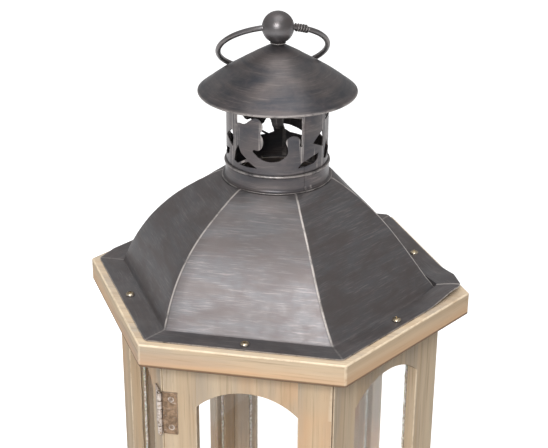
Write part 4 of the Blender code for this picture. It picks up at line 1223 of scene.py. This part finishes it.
def makeTray():
    low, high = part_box("candle_tray")
    radius, sheet, roll = high.x, trayShape["sheet"], trayShape["roll"]
    foot, rim = low.z, high.z
    outline = [(trayShape["hole"], foot)] + curved((radius * 0.90, foot), (radius * 0.965, foot),
                                                   (radius * 0.985, foot + 0.001), (radius - roll, rim - roll), 8)
    outline += arc((radius - roll, rim - roll), roll, 0, 180, 8)
    outline += curved((radius - roll - sheet, rim - roll * 2), (radius * 0.985 - sheet, foot + 0.0018),
                      (radius * 0.95 - sheet, foot + sheet), (radius * 0.88 - sheet, foot + sheet), 8)
    for share in (0.5, 0.46):
        outline += arc((radius * share, foot + sheet), 0.0006, 0, 180, 4)
    outline += [(trayShape["hole"], foot + sheet), (trayShape["hole"], foot)]
    piece = turned("candle_dish", outline, 96)
    return finish(piece, trayMetal, "lantern", ["candle_tray"], angle=40)


makeKnob()
makeTray()
softened("strike_plate", "strike_plate_fine", trayMetal, "door", 0.0002)
softened("magnet_catch", "magnet_catch_fine", magnetPlastic, "lantern", 0.0006, segments=3)
print("small fittings made")


# floor, light and camera

stageShape = {"floor": 9.0, "skyStrength": 0.5, "groundStrength": 0.1, "floorGlow": 0.55}
keyLight = {"azimuth": 0.0, "elevation": 31.0, "distance": 1.9, "size": 0.7, "energy": 30.0}
sideLight = {"azimuth": -70.0, "elevation": 40.0, "distance": 2.0, "size": 1.0, "energy": 0.5}
topLight = {"azimuth": 20.0, "elevation": 80.0, "distance": 1.8, "size": 1.4, "energy": 13.0}
viewShape = {"azimuth": 11.02, "elevation": 27.31, "roll": 0.341, "distance": 1.02453, "lens": 96.34,
             "aside": -0.001566, "up": -0.017523, "lift": 0.1387}


def directionTo(azimuth, elevation):  # from the lantern to a viewer, 0 being straight in front of the door
    a, e = radians(azimuth), radians(elevation)
    return Vector((sin(a) * cos(e), -cos(a) * cos(e), sin(e)))


def makeFloor():
    clearPicks()
    bpy.ops.mesh.primitive_plane_add(size=stageShape["floor"], location=(0, 0, -0.0002))
    floor = started("floor")
    made, tree, shader = newMaterial("paleFloor", Roughness=0.8, Emission_Strength=stageShape["floorGlow"])
    shader.inputs["Emission Color"].default_value = (1, 1, 1, 1)
    place = objectPlace(tree)
    soft = speckle(tree, place, 2.0, detail=2)
    tree.links.new(blended(tree, soft, tone(246, 246, 246), tone(250, 250, 250)), shader.inputs["Base Color"])
    floor.data.materials.append(made)
    floor.visible_diffuse = False  # so that it does not light the lantern from below


def makeSoftbox(name, spec):
    lamp = bpy.data.lights.new(name, "AREA")
    lamp.shape = "SQUARE"
    lamp.size = spec["size"]
    lamp.energy = spec["energy"]
    box = bpy.data.objects.new(name, lamp)
    bpy.context.scene.collection.objects.link(box)
    target = Vector((0, 0, (cadLow.z + cadHigh.z) * 0.65))
    towards = directionTo(spec["azimuth"], spec["elevation"])
    box.location = target + towards * spec["distance"]
    box.rotation_euler = towards.to_track_quat("Z", "Y").to_euler()


def makeCamera():
    back = directionTo(viewShape["azimuth"], viewShape["elevation"])
    right = Vector((cos(radians(viewShape["azimuth"])), sin(radians(viewShape["azimuth"])), 0))
    above = back.cross(right)
    aim = Vector((0, 0, topBoardHigh.z))
    spot = aim + back * viewShape["distance"] + right * viewShape["aside"] + above * viewShape["up"]
    roll = radians(viewShape["roll"])
    tiltedRight = right * cos(roll) + above * sin(roll)
    tiltedUp = above * cos(roll) - right * sin(roll)
    lens = bpy.data.cameras.new("camera")
    lens.sensor_width = 36
    lens.lens = viewShape["lens"]
    lens.shift_y = viewShape["lift"]
    camera = bpy.data.objects.new("camera", lens)
    bpy.context.scene.collection.objects.link(camera)
    stand = Matrix((tiltedRight, tiltedUp, back)).transposed().to_4x4()
    camera.matrix_world = Matrix.Translation(spot) @ stand
    bpy.context.scene.camera = camera


def makeWorld():
    world = bpy.data.worlds.new("softWhite")
    world.use_nodes = True
    tree = world.node_tree
    tree.nodes["Background"].inputs["Color"].default_value = (1, 1, 1, 1)
    height = put(tree, "SeparateXYZ", {0: put(tree, "TexCoord").outputs["Generated"]}).outputs[2]
    strength = put(tree, "MapRange", {0: height, 1: -0.15, 2: 0.15, 3: stageShape["groundStrength"],
                                      4: stageShape["skyStrength"]}).outputs[0]
    tree.links.new(strength, tree.nodes["Background"].inputs["Strength"])
    bpy.context.scene.world = world
    bpy.context.scene.view_settings.view_transform = "Standard"


makeFloor()
makeSoftbox("keySoftbox", keyLight)
makeSoftbox("sideSoftbox", sideLight)
makeSoftbox("topSoftbox", topLight)
makeWorld()
makeCamera()
print("stage made")
